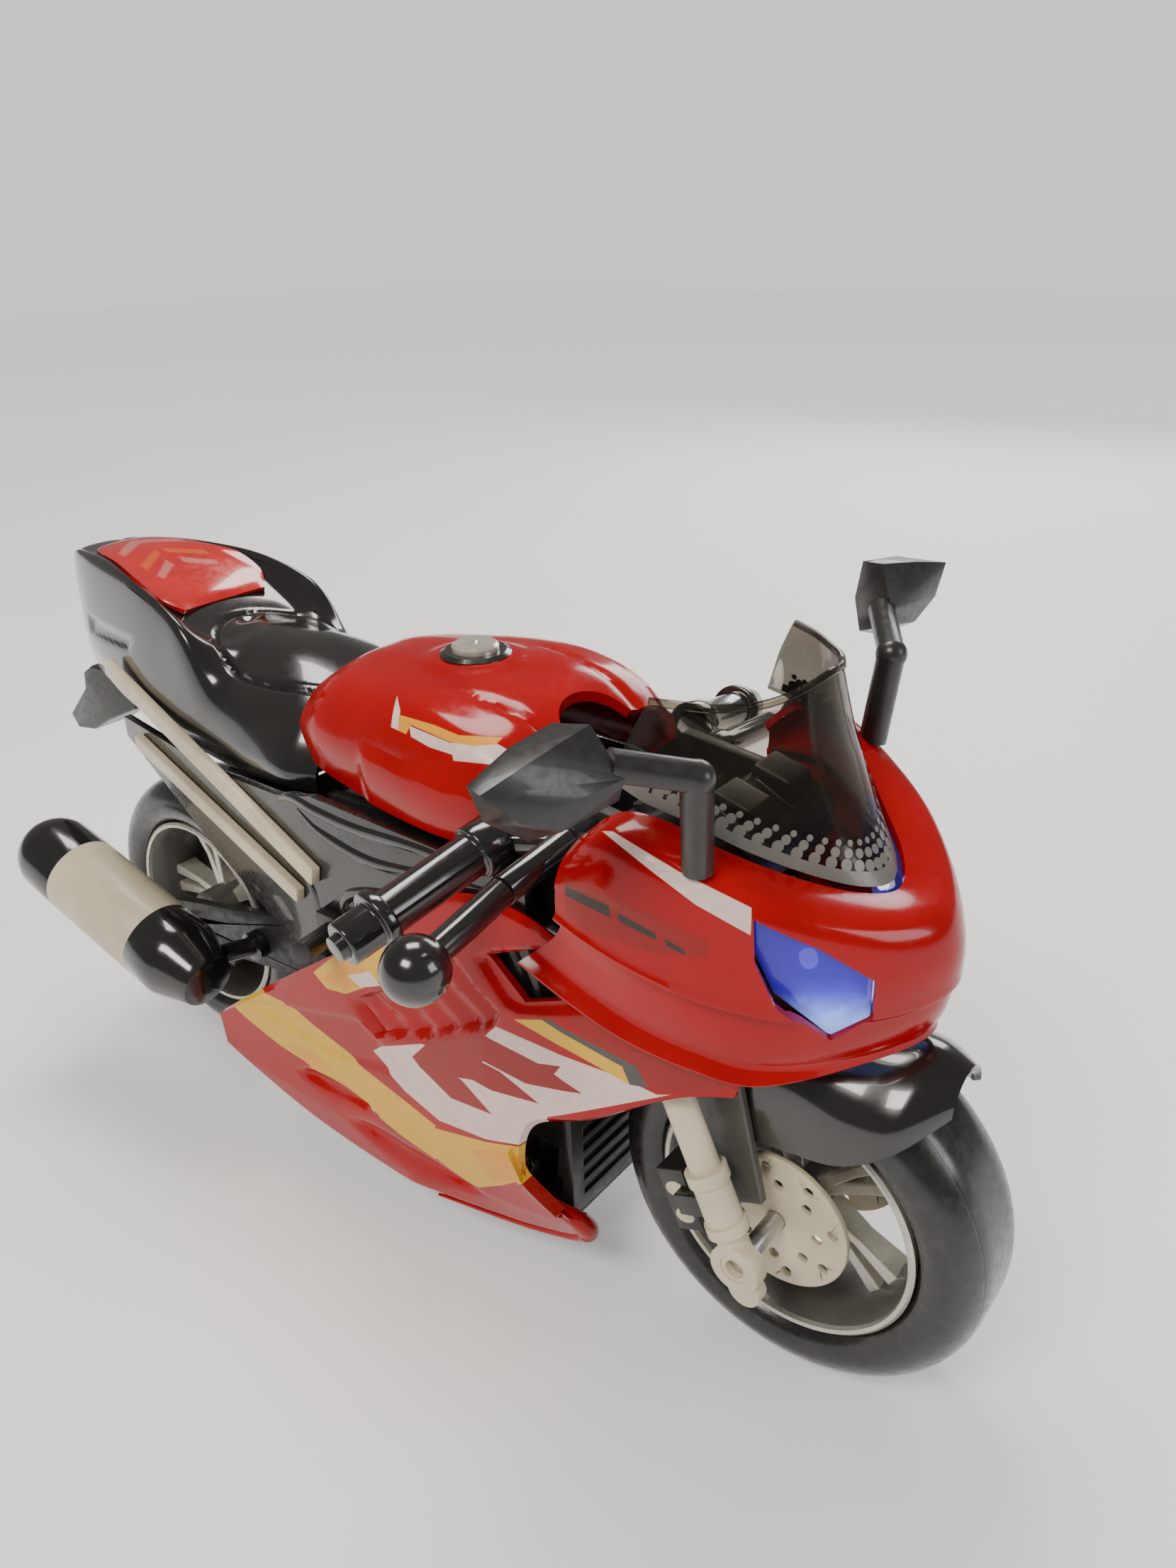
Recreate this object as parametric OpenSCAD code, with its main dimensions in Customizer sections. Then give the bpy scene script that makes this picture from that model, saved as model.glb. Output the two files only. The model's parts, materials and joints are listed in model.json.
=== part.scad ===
// Radio-controlled toy sport motorcycle, built as separate moulded parts.
// +X runs forward, +Y to the rider's left, +Z up. The origin is on the ground under the middle of the length.

/* [Wheels] */
// Outer radius of both tyres
tyre_r = 40.5; // [39.5:0.25:41]
// Width of both tyres
tyre_w = 26; // [24:0.5:26.5]
// Half-width of the flat crown of the tread
crown_w = 4; // [3:0.5:5]
// Radius of the rim's outer lip
rim_r = 28; // [27:0.5:29]
// Distance between the two axles
wheelbase = 190; // [190:0.5:192]
// Furthest reach of the front tyre ahead of the origin
front_reach = 146; // [146:0.5:147]
// Radius of both axles
axle_r = 2; // [1.5:0.25:2.25]

/* [Steering] */
// Lean of the fork back from upright, in degrees
rake = 24.6; // [24:0.2:25]
// Distance of the steering axis behind the fork legs
fork_offset = 5; // [4:0.5:5]
// Distance of each fork leg from the middle plane
fork_half = 26; // [25.5:0.25:26.5]
// Radius of the steering stem
stem_r = 3; // [2.5:0.25:3.25]

/* [Gears] */
// Module of the drive gears
gear_m = 1; // [0.95:0.01:1]
// Teeth on the gear of the rear axle
axle_teeth = 48; // [48:1:48]
// Teeth on the small side of the compound gear
small_teeth = 14; // [14:1:14]
// Teeth on the large side of the compound gear
large_teeth = 36; // [36:1:36]
// Teeth on the motor pinion
pinion_teeth = 12; // [12:1:12]
// Module of the steering gears
steer_m = 0.8; // [0.75:0.01:0.8]
// Teeth of the full circle that the steering sector is cut from
sector_teeth = 24; // [24:2:24]
// Teeth on the steering motor's gear
servo_teeth = 12; // [12:1:12]

/* [Body] */
// Wall of the moulded body panels
skin = 1.6; // [1.2:0.1:1.8]
// Wall of the windscreen
screen_t = 1.2; // [1:0.1:1.4]
// Wall of the gearbox case
case_t = 1.6; // [1.2:0.1:1.8]
// Wall of the two frame plates
plate_t = 3; // [2.5:0.1:3.5]
// Distance of each frame plate's outer face from the middle plane
frame_half = 20; // [19.5:0.25:20.5]
// Running gap around shafts and pins
run = 0.05; // [0.03:0.01:0.09]
// Travel of the button on the tank
button_travel = 1.2; // [0.8:0.1:1.4]
// Points computed between two stations of a moulded panel
smooth = 3; // [2:1:4]

/* [Hidden] */
$fn = 48;
front_x = front_reach - tyre_r;
rear_x = front_x - wheelbase;
axle_z = tyre_r;
rear_end = -front_reach;
batt_r = 7.1;
batt_l = 50;
batt_x = -14;
pan_half = 22.4;
gear_w = 4;
gear_y = 17.5;
large_y = 22.2;
motor_x = -33;
motor_z = 56;
button_x = 21;
button_z = 138;
stand_x = -20;
stand_z = 26;
stand_y = 36.4;
leg_r = 3.1;
tube_r = 2.6;
clamp_z = 50;
sector_z = 61.5;
stand_pin_r = 1.5;
tail_lift = 1.8;

// Centre of the compound gear, from the two centre distances
d_axle = gear_m * (axle_teeth + small_teeth) / 2;
d_motor = gear_m * (large_teeth + pinion_teeth) / 2;
d_all = norm([motor_x - rear_x, motor_z - axle_z]);
gear_lean = atan2(motor_z - axle_z, motor_x - rear_x)
    + acos((d_axle * d_axle + d_all * d_all - d_motor * d_motor) / (2 * d_axle * d_all));
idler_x = rear_x + d_axle * cos(gear_lean);
idler_z = axle_z + d_axle * sin(gear_lean);
motor_lean = atan2(idler_z - motor_z, idler_x - motor_x);
d_servo = steer_m * (sector_teeth + servo_teeth) / 2;

// ---------------------------------------------------------------- helpers
function mix(a, b, t) = a + (b - a) * t;
function other_side(p) = [p[0], -p[1], p[2]];
function curve_point(a, b, c, d, t) =
    0.5 * (2 * b + (c - a) * t + (2 * a - 5 * b + 4 * c - d) * t * t + (3 * b - a - 3 * c + d) * t * t * t);
// A smooth line through the given points, with n steps between neighbours
function through(p, n) = [
    for (i = [0 : len(p) - 2]) for (k = [0 : n - 1])
        curve_point(p[max(i - 1, 0)], p[i], p[i + 1], p[min(i + 2, len(p) - 1)], k / n),
    p[len(p) - 1]];
// A line that starts on the right side and ends in the middle, carried on to the left side
function both_sides(p) = concat(p, [for (i = [len(p) - 2 : -1 : 0]) other_side(p[i])]);
function grid_normal(g, r, c) =
    let (u = g[r][min(c + 1, len(g[0]) - 1)] - g[r][max(c - 1, 0)],
         v = g[min(r + 1, len(g) - 1)][c] - g[max(r - 1, 0)][c],
         n = cross(v, u))
    n / norm(n);
function quad(a, b, c, d) = [[a, b, c], [a, c, d]];

// A thin wall whose outer face passes through the grid of points
module panel(g, t) {
    rows = len(g);
    cols = len(g[0]);
    inner = rows * cols;
    points = [
        for (r = [0 : rows - 1]) for (c = [0 : cols - 1]) g[r][c],
        for (r = [0 : rows - 1]) for (c = [0 : cols - 1]) g[r][c] - t * grid_normal(g, r, c)];
    function at(r, c) = r * cols + c;
    faces = [
        for (r = [0 : rows - 2]) for (c = [0 : cols - 2])
            each quad(at(r, c), at(r, c + 1), at(r + 1, c + 1), at(r + 1, c)),
        for (r = [0 : rows - 2]) for (c = [0 : cols - 2])
            each quad(inner + at(r, c), inner + at(r + 1, c), inner + at(r + 1, c + 1), inner + at(r, c + 1)),
        for (c = [0 : cols - 2]) each quad(at(0, c + 1), at(0, c), inner + at(0, c), inner + at(0, c + 1)),
        for (c = [0 : cols - 2])
            each quad(at(rows - 1, c), at(rows - 1, c + 1), inner + at(rows - 1, c + 1), inner + at(rows - 1, c)),
        for (r = [0 : rows - 2]) each quad(at(r, 0), at(r + 1, 0), inner + at(r + 1, 0), inner + at(r, 0)),
        for (r = [0 : rows - 2])
            each quad(at(r + 1, cols - 1), at(r, cols - 1), inner + at(r, cols - 1), inner + at(r + 1, cols - 1))];
    polyhedron(points, faces, convexity = 8);
}

// A closed solid through rings of points, with flat ends
module rings(g) {
    cols = len(g[0]);
    last = len(g) - 1;
    points = [for (ring = g) each ring];
    faces = [
        for (r = [0 : last - 1]) for (c = [0 : cols - 1])
            each quad(r * cols + c, (r + 1) * cols + c, (r + 1) * cols + (c + 1) % cols, r * cols + (c + 1) % cols),
        for (c = [1 : cols - 2]) [0, c, c + 1],
        for (c = [1 : cols - 2]) [last * cols, last * cols + c + 1, last * cols + c]];
    polyhedron(points, faces, convexity = 8);
}

// Children are drawn along the line from p to q: their Z runs from 0 at p
module along(p, q) {
    d = q - p;
    translate(p) rotate([0, acos(d[2] / norm(d)), atan2(d[1], d[0])]) children();
}
module rod(p, q, r) along(p, q) cylinder(r = r, h = norm(q - p));
module bar(p, q, height, width) along(p, q)
    translate([-height / 2, -width / 2, 0]) cube([height, width, norm(q - p)]);
module pair() {
    children();
    mirror([0, 1, 0]) children();
}
// Extrudes an outline drawn in X and Z from y0 to y1
module slab(outline, y0, y1)
    translate([0, y1, 0]) rotate([90, 0, 0]) linear_extrude(y1 - y0) polygon(outline);
module disc_y(r, y0, y1) translate([0, y1, 0]) rotate([90, 0, 0]) cylinder(r = r, h = y1 - y0);
module at_front_axle() translate([front_x, 0, axle_z]) rotate([0, -rake, 0]) children();
module at_stem() at_front_axle() translate([-fork_offset, 0, 0]) children();
module at_rear_axle() translate([rear_x, 0, axle_z]) children();

// Spur gear about Z with one tooth centred at the angle phase
function involute(base, a) =
    base * [cos(a) + a * PI / 180 * sin(a), sin(a) - a * PI / 180 * cos(a)];
function turned(p, a) = [p[0] * cos(a) - p[1] * sin(a), p[0] * sin(a) + p[1] * cos(a)];
module gear_outline(teeth, m, phase) {
    pitch = m * teeth / 2;
    base = pitch * cos(20);
    tip = pitch + 0.7 * m;
    root = pitch - 0.95 * m;
    pitch_roll = tan(20) * 180 / PI;
    half = 90 / teeth - 0.09 * m / pitch * 180 / PI + pitch_roll - 20;
    tip_roll = sqrt(tip * tip / (base * base) - 1) * 180 / PI;
    root_roll = root > base ? sqrt(root * root / (base * base) - 1) * 180 / PI : 0;
    flank = [for (k = [0 : 4]) involute(base, mix(root_roll, tip_roll, k / 4))];
    foot = root > base ? [] : [[root, 0]];
    side = concat(foot, flank);
    polygon([for (i = [0 : teeth - 1]) let (a = phase + i * 360 / teeth)
        each concat(
            [for (p = side) turned(p, a - half)],
            [for (k = [len(side) - 1 : -1 : 0]) turned([side[k][0], -side[k][1]], a + half)])]);
}
module gear(teeth, m, phase, w) linear_extrude(w) gear_outline(teeth, m, phase);
// A gear in the plane of the wheels: the angle phase runs from +X towards +Z
module gear_y(teeth, m, phase, y0, y1)
    translate([0, y1, 0]) rotate([90, 0, 0]) gear(teeth, m, phase, y1 - y0);

// ---------------------------------------------------------------- wheels
module tyre() {
    bead = rim_r;
    half = tyre_w / 2;
    shoulder = [for (a = [15 : 15 : 90]) [tyre_r - 7.5 + 7.5 * sin(a), crown_w + (half - crown_w) * cos(a)]];
    side = concat([[bead, half - 3.5], [bead + 2.5, half - 0.6]], shoulder);
    rotate([90, 0, 0]) rotate_extrude($fn = 96)
        polygon(concat(side, [for (i = [len(side) - 1 : -1 : 0]) [side[i][0], -side[i][1]]]));
}
module rim(hub_half) {
    half = tyre_w / 2;
    rotate([90, 0, 0]) difference() {
        union() {
            rotate_extrude($fn = 96) polygon([
                [rim_r - 4, -half + 5], [rim_r - 2, -half + 1.5], [rim_r, -half + 1.5], [rim_r, half - 1.5],
                [rim_r - 2, half - 1.5], [rim_r - 4, half - 5]]);
            cylinder(r = 6, h = 2 * hub_half, center = true);
            for (i = [0 : 4]) rotate(72 * i + 36) translate([14, 0, 0]) cube([24, 5, 5], center = true);
        }
        cylinder(r = axle_r + run, h = 3 * tyre_w, center = true);
    }
}
module front_tyre() color("#1a1a1a") translate([front_x, 0, axle_z]) tyre();
module rear_tyre() color("#1a1a1a") at_rear_axle() tyre();
module front_rim() color("#5a564c") translate([front_x, 0, axle_z]) rim(11.7);
module rear_rim() color("#5a564c") at_rear_axle() difference() {
    rim(11.5);
    disc_y(axle_r, -20, 20);
}
module brake_discs() color("#d8cdb8") translate([front_x, 0, axle_z]) pair() difference() {
    translate([0, -12.4, 0]) rotate([90, 0, 0]) cylinder(r = 15.5, h = 1.4, center = true);
    disc_y(axle_r + run, -20, 0);
    for (i = [0 : 7]) for (k = [0 : 1])
        translate([(9 + 3.6 * k) * cos(45 * i + 14 * k), 0, (9 + 3.6 * k) * sin(45 * i + 14 * k)])
            disc_y(1.1, -20, 0);
}

// ---------------------------------------------------------------- drive
module rear_axle() color("silver") at_rear_axle() disc_y(axle_r, -21, 24.6);
module axle_gear() color("#e8e2d2") at_rear_axle() difference() {
    union() {
        gear_y(axle_teeth, gear_m, gear_lean, gear_y - gear_w / 2, gear_y + gear_w / 2);
        disc_y(5, gear_y - gear_w / 2, gear_y + gear_w / 2 + 1);
    }
    disc_y(axle_r, 0, 40);
    for (i = [0 : 5]) translate([14 * cos(60 * i), 0, 14 * sin(60 * i)]) disc_y(4.5, 0, 40);
}
module idler_gear() color("#e8e2d2") translate([idler_x, 0, idler_z]) difference() {
    union() {
        gear_y(small_teeth, gear_m, gear_lean + 180 + 180 / small_teeth, gear_y - 2.2, large_y - 1.4);
        gear_y(large_teeth, gear_m, motor_lean + 180 + 180 / large_teeth, large_y - 1.5, large_y + 1.5);
    }
    disc_y(1.5 + run, 0, 40);
}
module motor_pinion() color("#c9a94f") translate([motor_x, 0, motor_z]) {
    difference() {
        gear_y(pinion_teeth, gear_m, motor_lean, large_y - 2, large_y + 2);
        disc_y(1, 0, 40);
    }
    disc_y(1, -6, large_y + 2);
}
module drive_motor() color("silver") translate([motor_x, 0, motor_z]) difference() {
    union() {
        intersection() {
            disc_y(10, -13, 13);
            cube([24, 40, 15], center = true);
        }
        disc_y(3, 13, 15);
    }
    disc_y(1 + run, -6.2, 30);
}
function round_line(a, b, r0, r1) =
    let (t = atan2(b[1] - a[1], b[0] - a[0]))
    concat([for (k = [90 : 15 : 270]) [a[0] + r0 * cos(t + k), a[1] + r0 * sin(t + k)]],
        [for (k = [-90 : 15 : 90]) [b[0] + r1 * cos(t + k), b[1] + r1 * sin(t + k)]]);
// The case follows its three shafts, this far outside the space its gears turn in
module case_shape(extra, y0, y1) {
    slab(round_line([rear_x, axle_z], [idler_x, idler_z], 25.8 + extra, 20 + extra), y0, y1);
    slab(round_line([idler_x, idler_z], [motor_x, motor_z], 20 + extra, 9.9 + extra), y0, y1);
}
module gearbox_case() color("#26262a") difference() {
    union() {
        difference() {
            case_shape(case_t, 13.9, 25);
            case_shape(0, 15.1, 26);
        }
        translate([idler_x, 0, idler_z]) disc_y(1.5, 14, 25);
    }
    at_rear_axle() disc_y(axle_r + run, 10, 30);
    translate([motor_x, 0, motor_z]) disc_y(3.2, 10, 30);
}
module gearbox_cover() color("#26262a") difference() {
    case_shape(case_t, 25, 26.2);
    at_rear_axle() disc_y(axle_r + run, 10, 30);
}
module swingarm_right() color("#26262a") difference() {
    slab(round_line([rear_x, axle_z], [-20, 54], 7, 9), -16.9, -14.2);
    at_rear_axle() disc_y(axle_r + run, -30, 0);
}

// ---------------------------------------------------------------- frame
frame_outline = [[80, 122], [62, 124], [44, 108], [-16, 104], [-46, 101], [-48, 94], [-40, 84], [-24, 74],
    [-26, 34], [-30, 24], [30, 18], [54, 20], [57.6, 64], [66, 80], [68, 86.5], [84, 94]];
boss_places = [[40, 103], [48, 28], [-24.8, 29], [-20, 100], [-42, 95], [48, 84]];
module frame_plate() difference() {
    slab(frame_outline, -frame_half, -frame_half + plate_t);
    slab([[-14, 96], [30, 98], [44, 92], [-14, 80]], -frame_half - 1, 0);
}
module bosses(y0, y1) for (p = boss_places)
    translate([p[0], 0, p[1]]) disc_y(3, y0, y1);
module boss_bores(y0, y1) for (p = boss_places)
    translate([p[0], 0, p[1]]) disc_y(1.2, y0, y1);
module frame_right() color("#2b2b2e") difference() {
    union() {
        frame_plate();
        bosses(-frame_half + 0.5, 0);
        at_stem() for (z = [58, 82]) translate([0, 0, z]) intersection() {
            cube([14, 2 * frame_half - 1, 4], center = true);
            translate([-10, -frame_half, -5]) cube([20, frame_half, 10]);
        }
    }
    boss_bores(-frame_half - 1, 1);
    at_stem() translate([0, 0, 30]) cylinder(r = stem_r + run, h = 70);
}
module frame_left() color("#2b2b2e") difference() {
    union() {
        mirror([0, 1, 0]) frame_plate();
        bosses(0, frame_half - 0.5);
        at_stem() for (z = [58, 82]) translate([0, 0, z]) intersection() {
            cube([14, 2 * frame_half - 1, 4], center = true);
            translate([-10, 0, -5]) cube([20, frame_half, 10]);
        }
    }
    boss_bores(-1, frame_half - 2);
    translate([stand_x, 0, stand_z]) disc_y(stand_pin_r + run, 16, 22);
    at_stem() translate([0, 0, 30]) cylinder(r = stem_r + run, h = 70);
    case_shape(case_t + 0.6, 10, 30);
}
module case_screws() color("silver")
    for (p = boss_places)
        translate([p[0], 0, p[1]]) difference() {
            union() {
                disc_y(1.2, -frame_half, 14);
                disc_y(2.4, -frame_half - 1.4, -frame_half);
            }
            translate([0, -frame_half - 1, 0]) cube([3, 1.2, 0.5], center = true);
            translate([0, -frame_half - 1, 0]) cube([0.5, 1.2, 3], center = true);
        }
module radiator_panel() color("#2f2e30") difference() {
    union() {
        translate([58.6, -23, 22]) cube([3, 46, 42]);
        pair() translate([50, -23, 40]) cube([9, 2.95, 10]);
    }
    for (z = [26 : 4 : 60]) translate([61, -19, z]) cube([2, 38, 2]);
}
module belly_pan() color("#232326") difference() {
    translate([-44, -pan_half, 14]) cube([101, 2 * pan_half, 9]);
    translate([-42, -pan_half + 2, 16]) cube([97, 2 * pan_half - 4, 10]);
    translate([batt_x - 6, -17, 10]) cube([62, 34, 10]);
    translate([44, -4, 10]) cube([9, 8, 10]);
}
module battery_door() color("#232326") difference() {
    translate([batt_x - 5.8, -16.8, 14]) cube([61.6, 33.6, 1.8]);
    translate([batt_x - 2, 0, 0]) cylinder(r = 1.4, h = 30);
}
module batteries() color("#3c6fb0") for (y = [-7.6, 7.6]) for (z = [24, 39.2])
    translate([batt_x, y, z]) rotate([0, 90, 0]) {
        cylinder(r = batt_r, h = batt_l - 1);
        translate([0, 0, batt_l - 1.2]) cylinder(r = 2.6, h = 1.4);
    }
module battery_contacts() color("#d9c48a") for (y = [-7.6, 7.6]) for (z = [24, 39.2]) {
    translate([batt_x - 0.6, y, z]) rotate([0, 90, 0]) cylinder(r = 4, h = 0.5);
    translate([batt_x + batt_l + 0.3, y, z]) rotate([0, 90, 0]) cylinder(r = 4, h = 0.5);
}
module circuit_board() color("#2f7d45") translate([-16, -14, 76]) cube([50, 28, 1.6]);
module speaker() color("#444444") translate([8, 0, 60]) cylinder(r = 11, h = 6);
module steering_motor() color("silver") at_stem()
    translate([-d_servo, 0, sector_z + 3.6]) cylinder(r = 6, h = 16);

// ---------------------------------------------------------------- fork and steering
module sector() intersection() {
    gear(sector_teeth, steer_m, 180, 3);
    linear_extrude(3) polygon([[4, 0], for (a = [120 : 8 : 240]) [14 * cos(a), 14 * sin(a)]]);
}
module steering_stem() color("#1d1d1f") at_stem() {
    translate([0, 0, clamp_z]) cylinder(r = stem_r, h = 36);
    translate([0, 0, sector_z]) sector();
    translate([fork_offset, 0, clamp_z]) difference() {
        translate([-fork_offset - 4, -fork_half - 3.6, 0]) cube([fork_offset + 8, 2 * fork_half + 7.2, 4.5]);
        for (s = [-1, 1]) translate([0, s * fork_half, -1]) cylinder(r = tube_r + run, h = 8);
    }
}
module servo_gear() color("#e8e2d2") at_stem() translate([-d_servo, 0, sector_z])
    gear(servo_teeth, steer_m, 180 / servo_teeth, 3);
module fork_legs() color("#d9d0bf") at_front_axle() pair() translate([0, -fork_half, 0]) difference() {
    union() {
        cylinder(r = leg_r, h = 44);
        cylinder(r = tube_r, h = clamp_z + 6);
        translate([0, 0, 7]) cylinder(r = 4.2, h = 2.4);
        translate([0, 0, 18]) cylinder(r = 4.2, h = 2.6);
        translate([0, 0, 8]) cylinder(r = 3.7, h = 11);
        translate([0, -1, 0]) rotate([90, 0, 0]) cylinder(r = 5.2, h = 3.6, center = true);
        translate([0, -1, -5]) rotate([90, 0, 0]) cylinder(r = 3.4, h = 3, center = true);
    }
    rotate([90, 0, 0]) cylinder(r = axle_r, h = 20, center = true);
    translate([0, -4, 0]) rotate([90, 0, 0]) cylinder(r = 3, h = 3, center = true);
}
module front_axle() color("silver") translate([front_x, 0, axle_z])
    disc_y(axle_r, -fork_half - 1, fork_half + 1);
module brake_calipers() color("#1b1b1d") at_front_axle() pair() difference() {
    union() {
        translate([-15, -24.4, 4]) cube([6.6, 14.2, 14]);
        translate([-10, -27.2, 9.8]) cube([8, 3.2, 4.6]);
    }
    translate([0, -11.1, 0]) rotate([90, 0, 0]) cylinder(r = 16.2, h = 2.6);
    translate([0, -fork_half, 0]) cylinder(r = 3.75, h = 30);
}
fender_sections = [
    section(84, [[-18.4, 62], [-17.6, 74], [-10, 82], [0, 83.4]]),
    section(96, [[-18, 62], [-16.6, 75], [-9.4, 82.8], [0, 84]]),
    section(108, [[-16.8, 62.6], [-16.1, 76], [-9.8, 83], [0, 84.2]]),
    section(119, [[-16.8, 65], [-15.2, 75], [-8.2, 82.6], [0, 84.2]]),
    section(128, [[-15, 71], [-13.2, 77], [-7, 83], [0, 85.4]]),
    section(135, [[-6.6, 77], [-6, 79.5], [-3.6, 82.4], [0, 83.6]])];
module front_fender() color("#161617") {
    panel(fender_sections, 1.4);
    at_front_axle() pair() {
        slab([[-5, 8], [4, 8], [10, 38], [9, 44], [-8, 44], [-8, 26]], -19.4, -17.4);
        difference() {
            translate([-3, -24, 30]) cube([6, 4.7, 6]);
            translate([0, -fork_half, 0]) cylinder(r = leg_r + run, h = 60);
        }
    }
}
bar_in = [66, -25, 119];
grip_in = [54, -31.5, 118.5];
grip_out = [48.5, -66.6, 110.6];
ball = [65, -63.8, 111.8];
module handlebars() color("#161617") pair() {
    rod(bar_in, grip_in, 3);
    rod(grip_in, grip_out, 2.4);
    rod(bar_in, [66.5, -44, 117.5], 2.8);
    rod([66.5, -44, 117.5], ball, 2.7);
    translate(ball) sphere(r = 6);
    translate([bar_in[0], 0, bar_in[2]]) disc_y(3.6, -26, -frame_half);
}
module grips() color("#161617") pair() along(grip_in, grip_out) difference() {
    union() {
        cylinder(r = 5.2, h = 6);
        cylinder(r = 4.2, h = 35);
        translate([0, 0, 26]) cylinder(r = 5.8, h = 2.4);
    }
    translate([0, 0, -1]) cylinder(r = 2.4, h = 40);
    translate([0, 0, -1]) cylinder(r = 4.3, h = 4.4);
}

// ---------------------------------------------------------------- front body
// Lines around the nose, from the right rear edge to the middle of the front
cowl_lines = [
    [[73, -31, 124], [81, -30, 131], [89, -28, 131], [98, -24, 126.5], [107, -16.5, 121], [115, -8.5, 117],
        [118.5, 0, 115]],
    [[72, -34.6, 121], [81, -36, 128.5], [90, -35.4, 127.5], [100, -31.8, 124], [112, -24.5, 119],
        [122.5, -12, 114.5], [126.5, 0, 113.5]],
    [[71.5, -36.5, 116], [80, -37.6, 119], [90, -37, 117], [101, -33.4, 113.5], [114.5, -24.8, 110],
        [125.5, -12.5, 107], [130, 0, 107]],
    [[71.5, -37, 110], [79, -38, 108.5], [89, -37.3, 106], [101, -34, 103], [113.5, -26.5, 100.5],
        [125, -13, 98.5], [130.5, 0, 99.5]],
    [[69, -36.6, 104], [78, -37, 101.5], [88, -36.6, 98.5], [99, -34, 95], [111, -27.8, 92],
        [123.5, -13.5, 91.5], [129.5, 0, 92.5]],
    [[62, -36.6, 97], [73, -36.4, 93], [85, -35.6, 89.5], [97, -32.8, 87], [108, -27.5, 85],
        [120, -14, 86.5], [127.5, 0, 88.5]]];
module nose_cowl() color("#c81e22") difference() {
    panel([for (l = cowl_lines) through(both_sides(l), smooth)], skin);
    headlight_windows(8);
    pair() stalk_post(run);
}
// Outline of one headlight, seen along its own axis
lamp_outline = [[-10.3, 13], [-9.9, 5.4], [-6.4, -2.6], [3.4, -11.2], [9.9, -7.2], [9.8, 0.6], [0, 7.8]];
lamp_at = [113.5, -20.5, 106];
lamp_turn = 54.3;
module at_lamp() translate(lamp_at) rotate([0, 0, -lamp_turn]) rotate([90, 0, 90]) children();
module headlight_windows(depth) pair() at_lamp()
    translate([0, 0, -depth]) linear_extrude(2 * depth) polygon(lamp_outline * 1.03);
module headlight_lenses() color([0.55, 0.6, 1, 0.6]) pair() at_lamp()
    translate([0, 0, -2.5]) linear_extrude(3.5) polygon(lamp_outline);
module headlight_reflectors() color("#c8c8d8") pair() at_lamp() difference() {
    translate([0, 0, -7]) linear_extrude(4.2) polygon(lamp_outline);
    translate([0, 0, -6]) linear_extrude(6) polygon(lamp_outline * 0.86);
    translate([0, 0, -9]) cylinder(r = 1.6, h = 5);
}
module headlight_leds() color("#ffffff") pair() at_lamp() translate([0, 0, -8]) {
    cylinder(r = 1.55, h = 3);
    translate([0, 0, 3]) sphere(r = 1.55);
}
screen_lines = [
    [[76.5, -26.5, 134.5], [84, -27, 132.5], [92, -24.8, 130], [100, -20.5, 125.5], [108, -13.5, 120.5],
        [114.5, -6.5, 117], [117, 0, 115.8]],
    [[78, -25.8, 138.5], [84.5, -25.8, 137.5], [92, -23.6, 135.5], [99, -19.4, 132], [105.5, -12.8, 128],
        [110, -6.3, 125.5], [111.5, 0, 124.5]],
    [[80, -25.2, 143.5], [85.5, -24, 143], [91.5, -21.6, 142], [97.5, -17.4, 140], [102.5, -11.4, 138],
        [105.6, -5.8, 136.5], [106.6, 0, 136]],
    [[83, -24.5, 149.3], [88, -22.3, 149], [92.5, -19.4, 148.6], [97, -15.4, 148.6], [100.3, -10, 149.2],
        [102.4, -5, 150.4], [103.2, 0, 151.2]]];
module windscreen() color([0.25, 0.25, 0.27, 0.55])
    panel([for (i = [3 : -1 : 0]) through(both_sides(screen_lines[i]), smooth)], screen_t);
module instrument_panel() color("#1b1b1c") {
    slab([[84, 112], [99, 114], [98, 121], [88, 126], [83, 124]], -15, 15);
    pair() slab([[86, 124.8], [96, 121.5], [95, 127], [87, 129]], -11, -3);
}

// Outline of the side fairing: one point on its top edge and one on its bottom edge for each station
fairing_top = [[105, 84], [92, 91], [77, 98], [61, 105], [44, 104], [24, 89], [5, 75], [-13, 62], [-33, 47], [-47, 36]];
fairing_low = [[104, 81], [93, 76.5], [76, 64], [60, 54], [57.5, 36], [66.5, 25], [61.5, 15.5], [26, 13],
    [-14, 15.5], [-47, 25.5]];
// Half-width of the fairing at a height and a distance along
function fairing_y(x, z) =
    let (belly = lookup(z, [[8, 29], [14, 32], [24, 33.5], [40, 34.5], [60, 35.5], [85, 36], [105, 34.5]]),
         nose = lookup(x, [[-48, 0], [0, 0], [50, 0], [70, 1.2], [80, 2.6], [92, 4.4], [106, 8]]),
         toe = z < 40 && x > 20 ? (x - 20) * (40 - z) * 0.008 : 0)
    belly - nose - toe;
fairing_rows = 8;
fairing_grid = let (t = through(fairing_top, smooth), b = through(fairing_low, smooth))
    [for (k = [0 : fairing_rows]) [for (i = [len(t) - 1 : -1 : 0])
        let (p = mix(t[i], b[i], k / fairing_rows)) [p[0], -fairing_y(p[0], p[1]), p[1]]]];
vent_outline = [[52, 93.5], [64, 99], [83, 95.5], [61, 86]];
module fairing_side() difference() {
    panel(fairing_grid, skin);
    slab(vent_outline, -50, 0);
}
module side_fairing_right() color("#c81e22") fairing_side();
module side_fairing_left() color("#c81e22") difference() {
    mirror([0, 1, 0]) fairing_side();
    translate([stand_x, 0, stand_z]) disc_y(stand_pin_r + 0.7, 20, 50);
}
module vent_grilles() color("#1b1b1c") pair() difference() {
    slab([[49, 93.5], [63, 101], [86, 97], [61, 83]], -31, -27.5);
    for (i = [0 : 4]) slab([[52 + 6 * i, 99], [55 + 6 * i, 99], [62 + 6 * i, 84], [59 + 6 * i, 84]], -33, -29.5);
}

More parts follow.
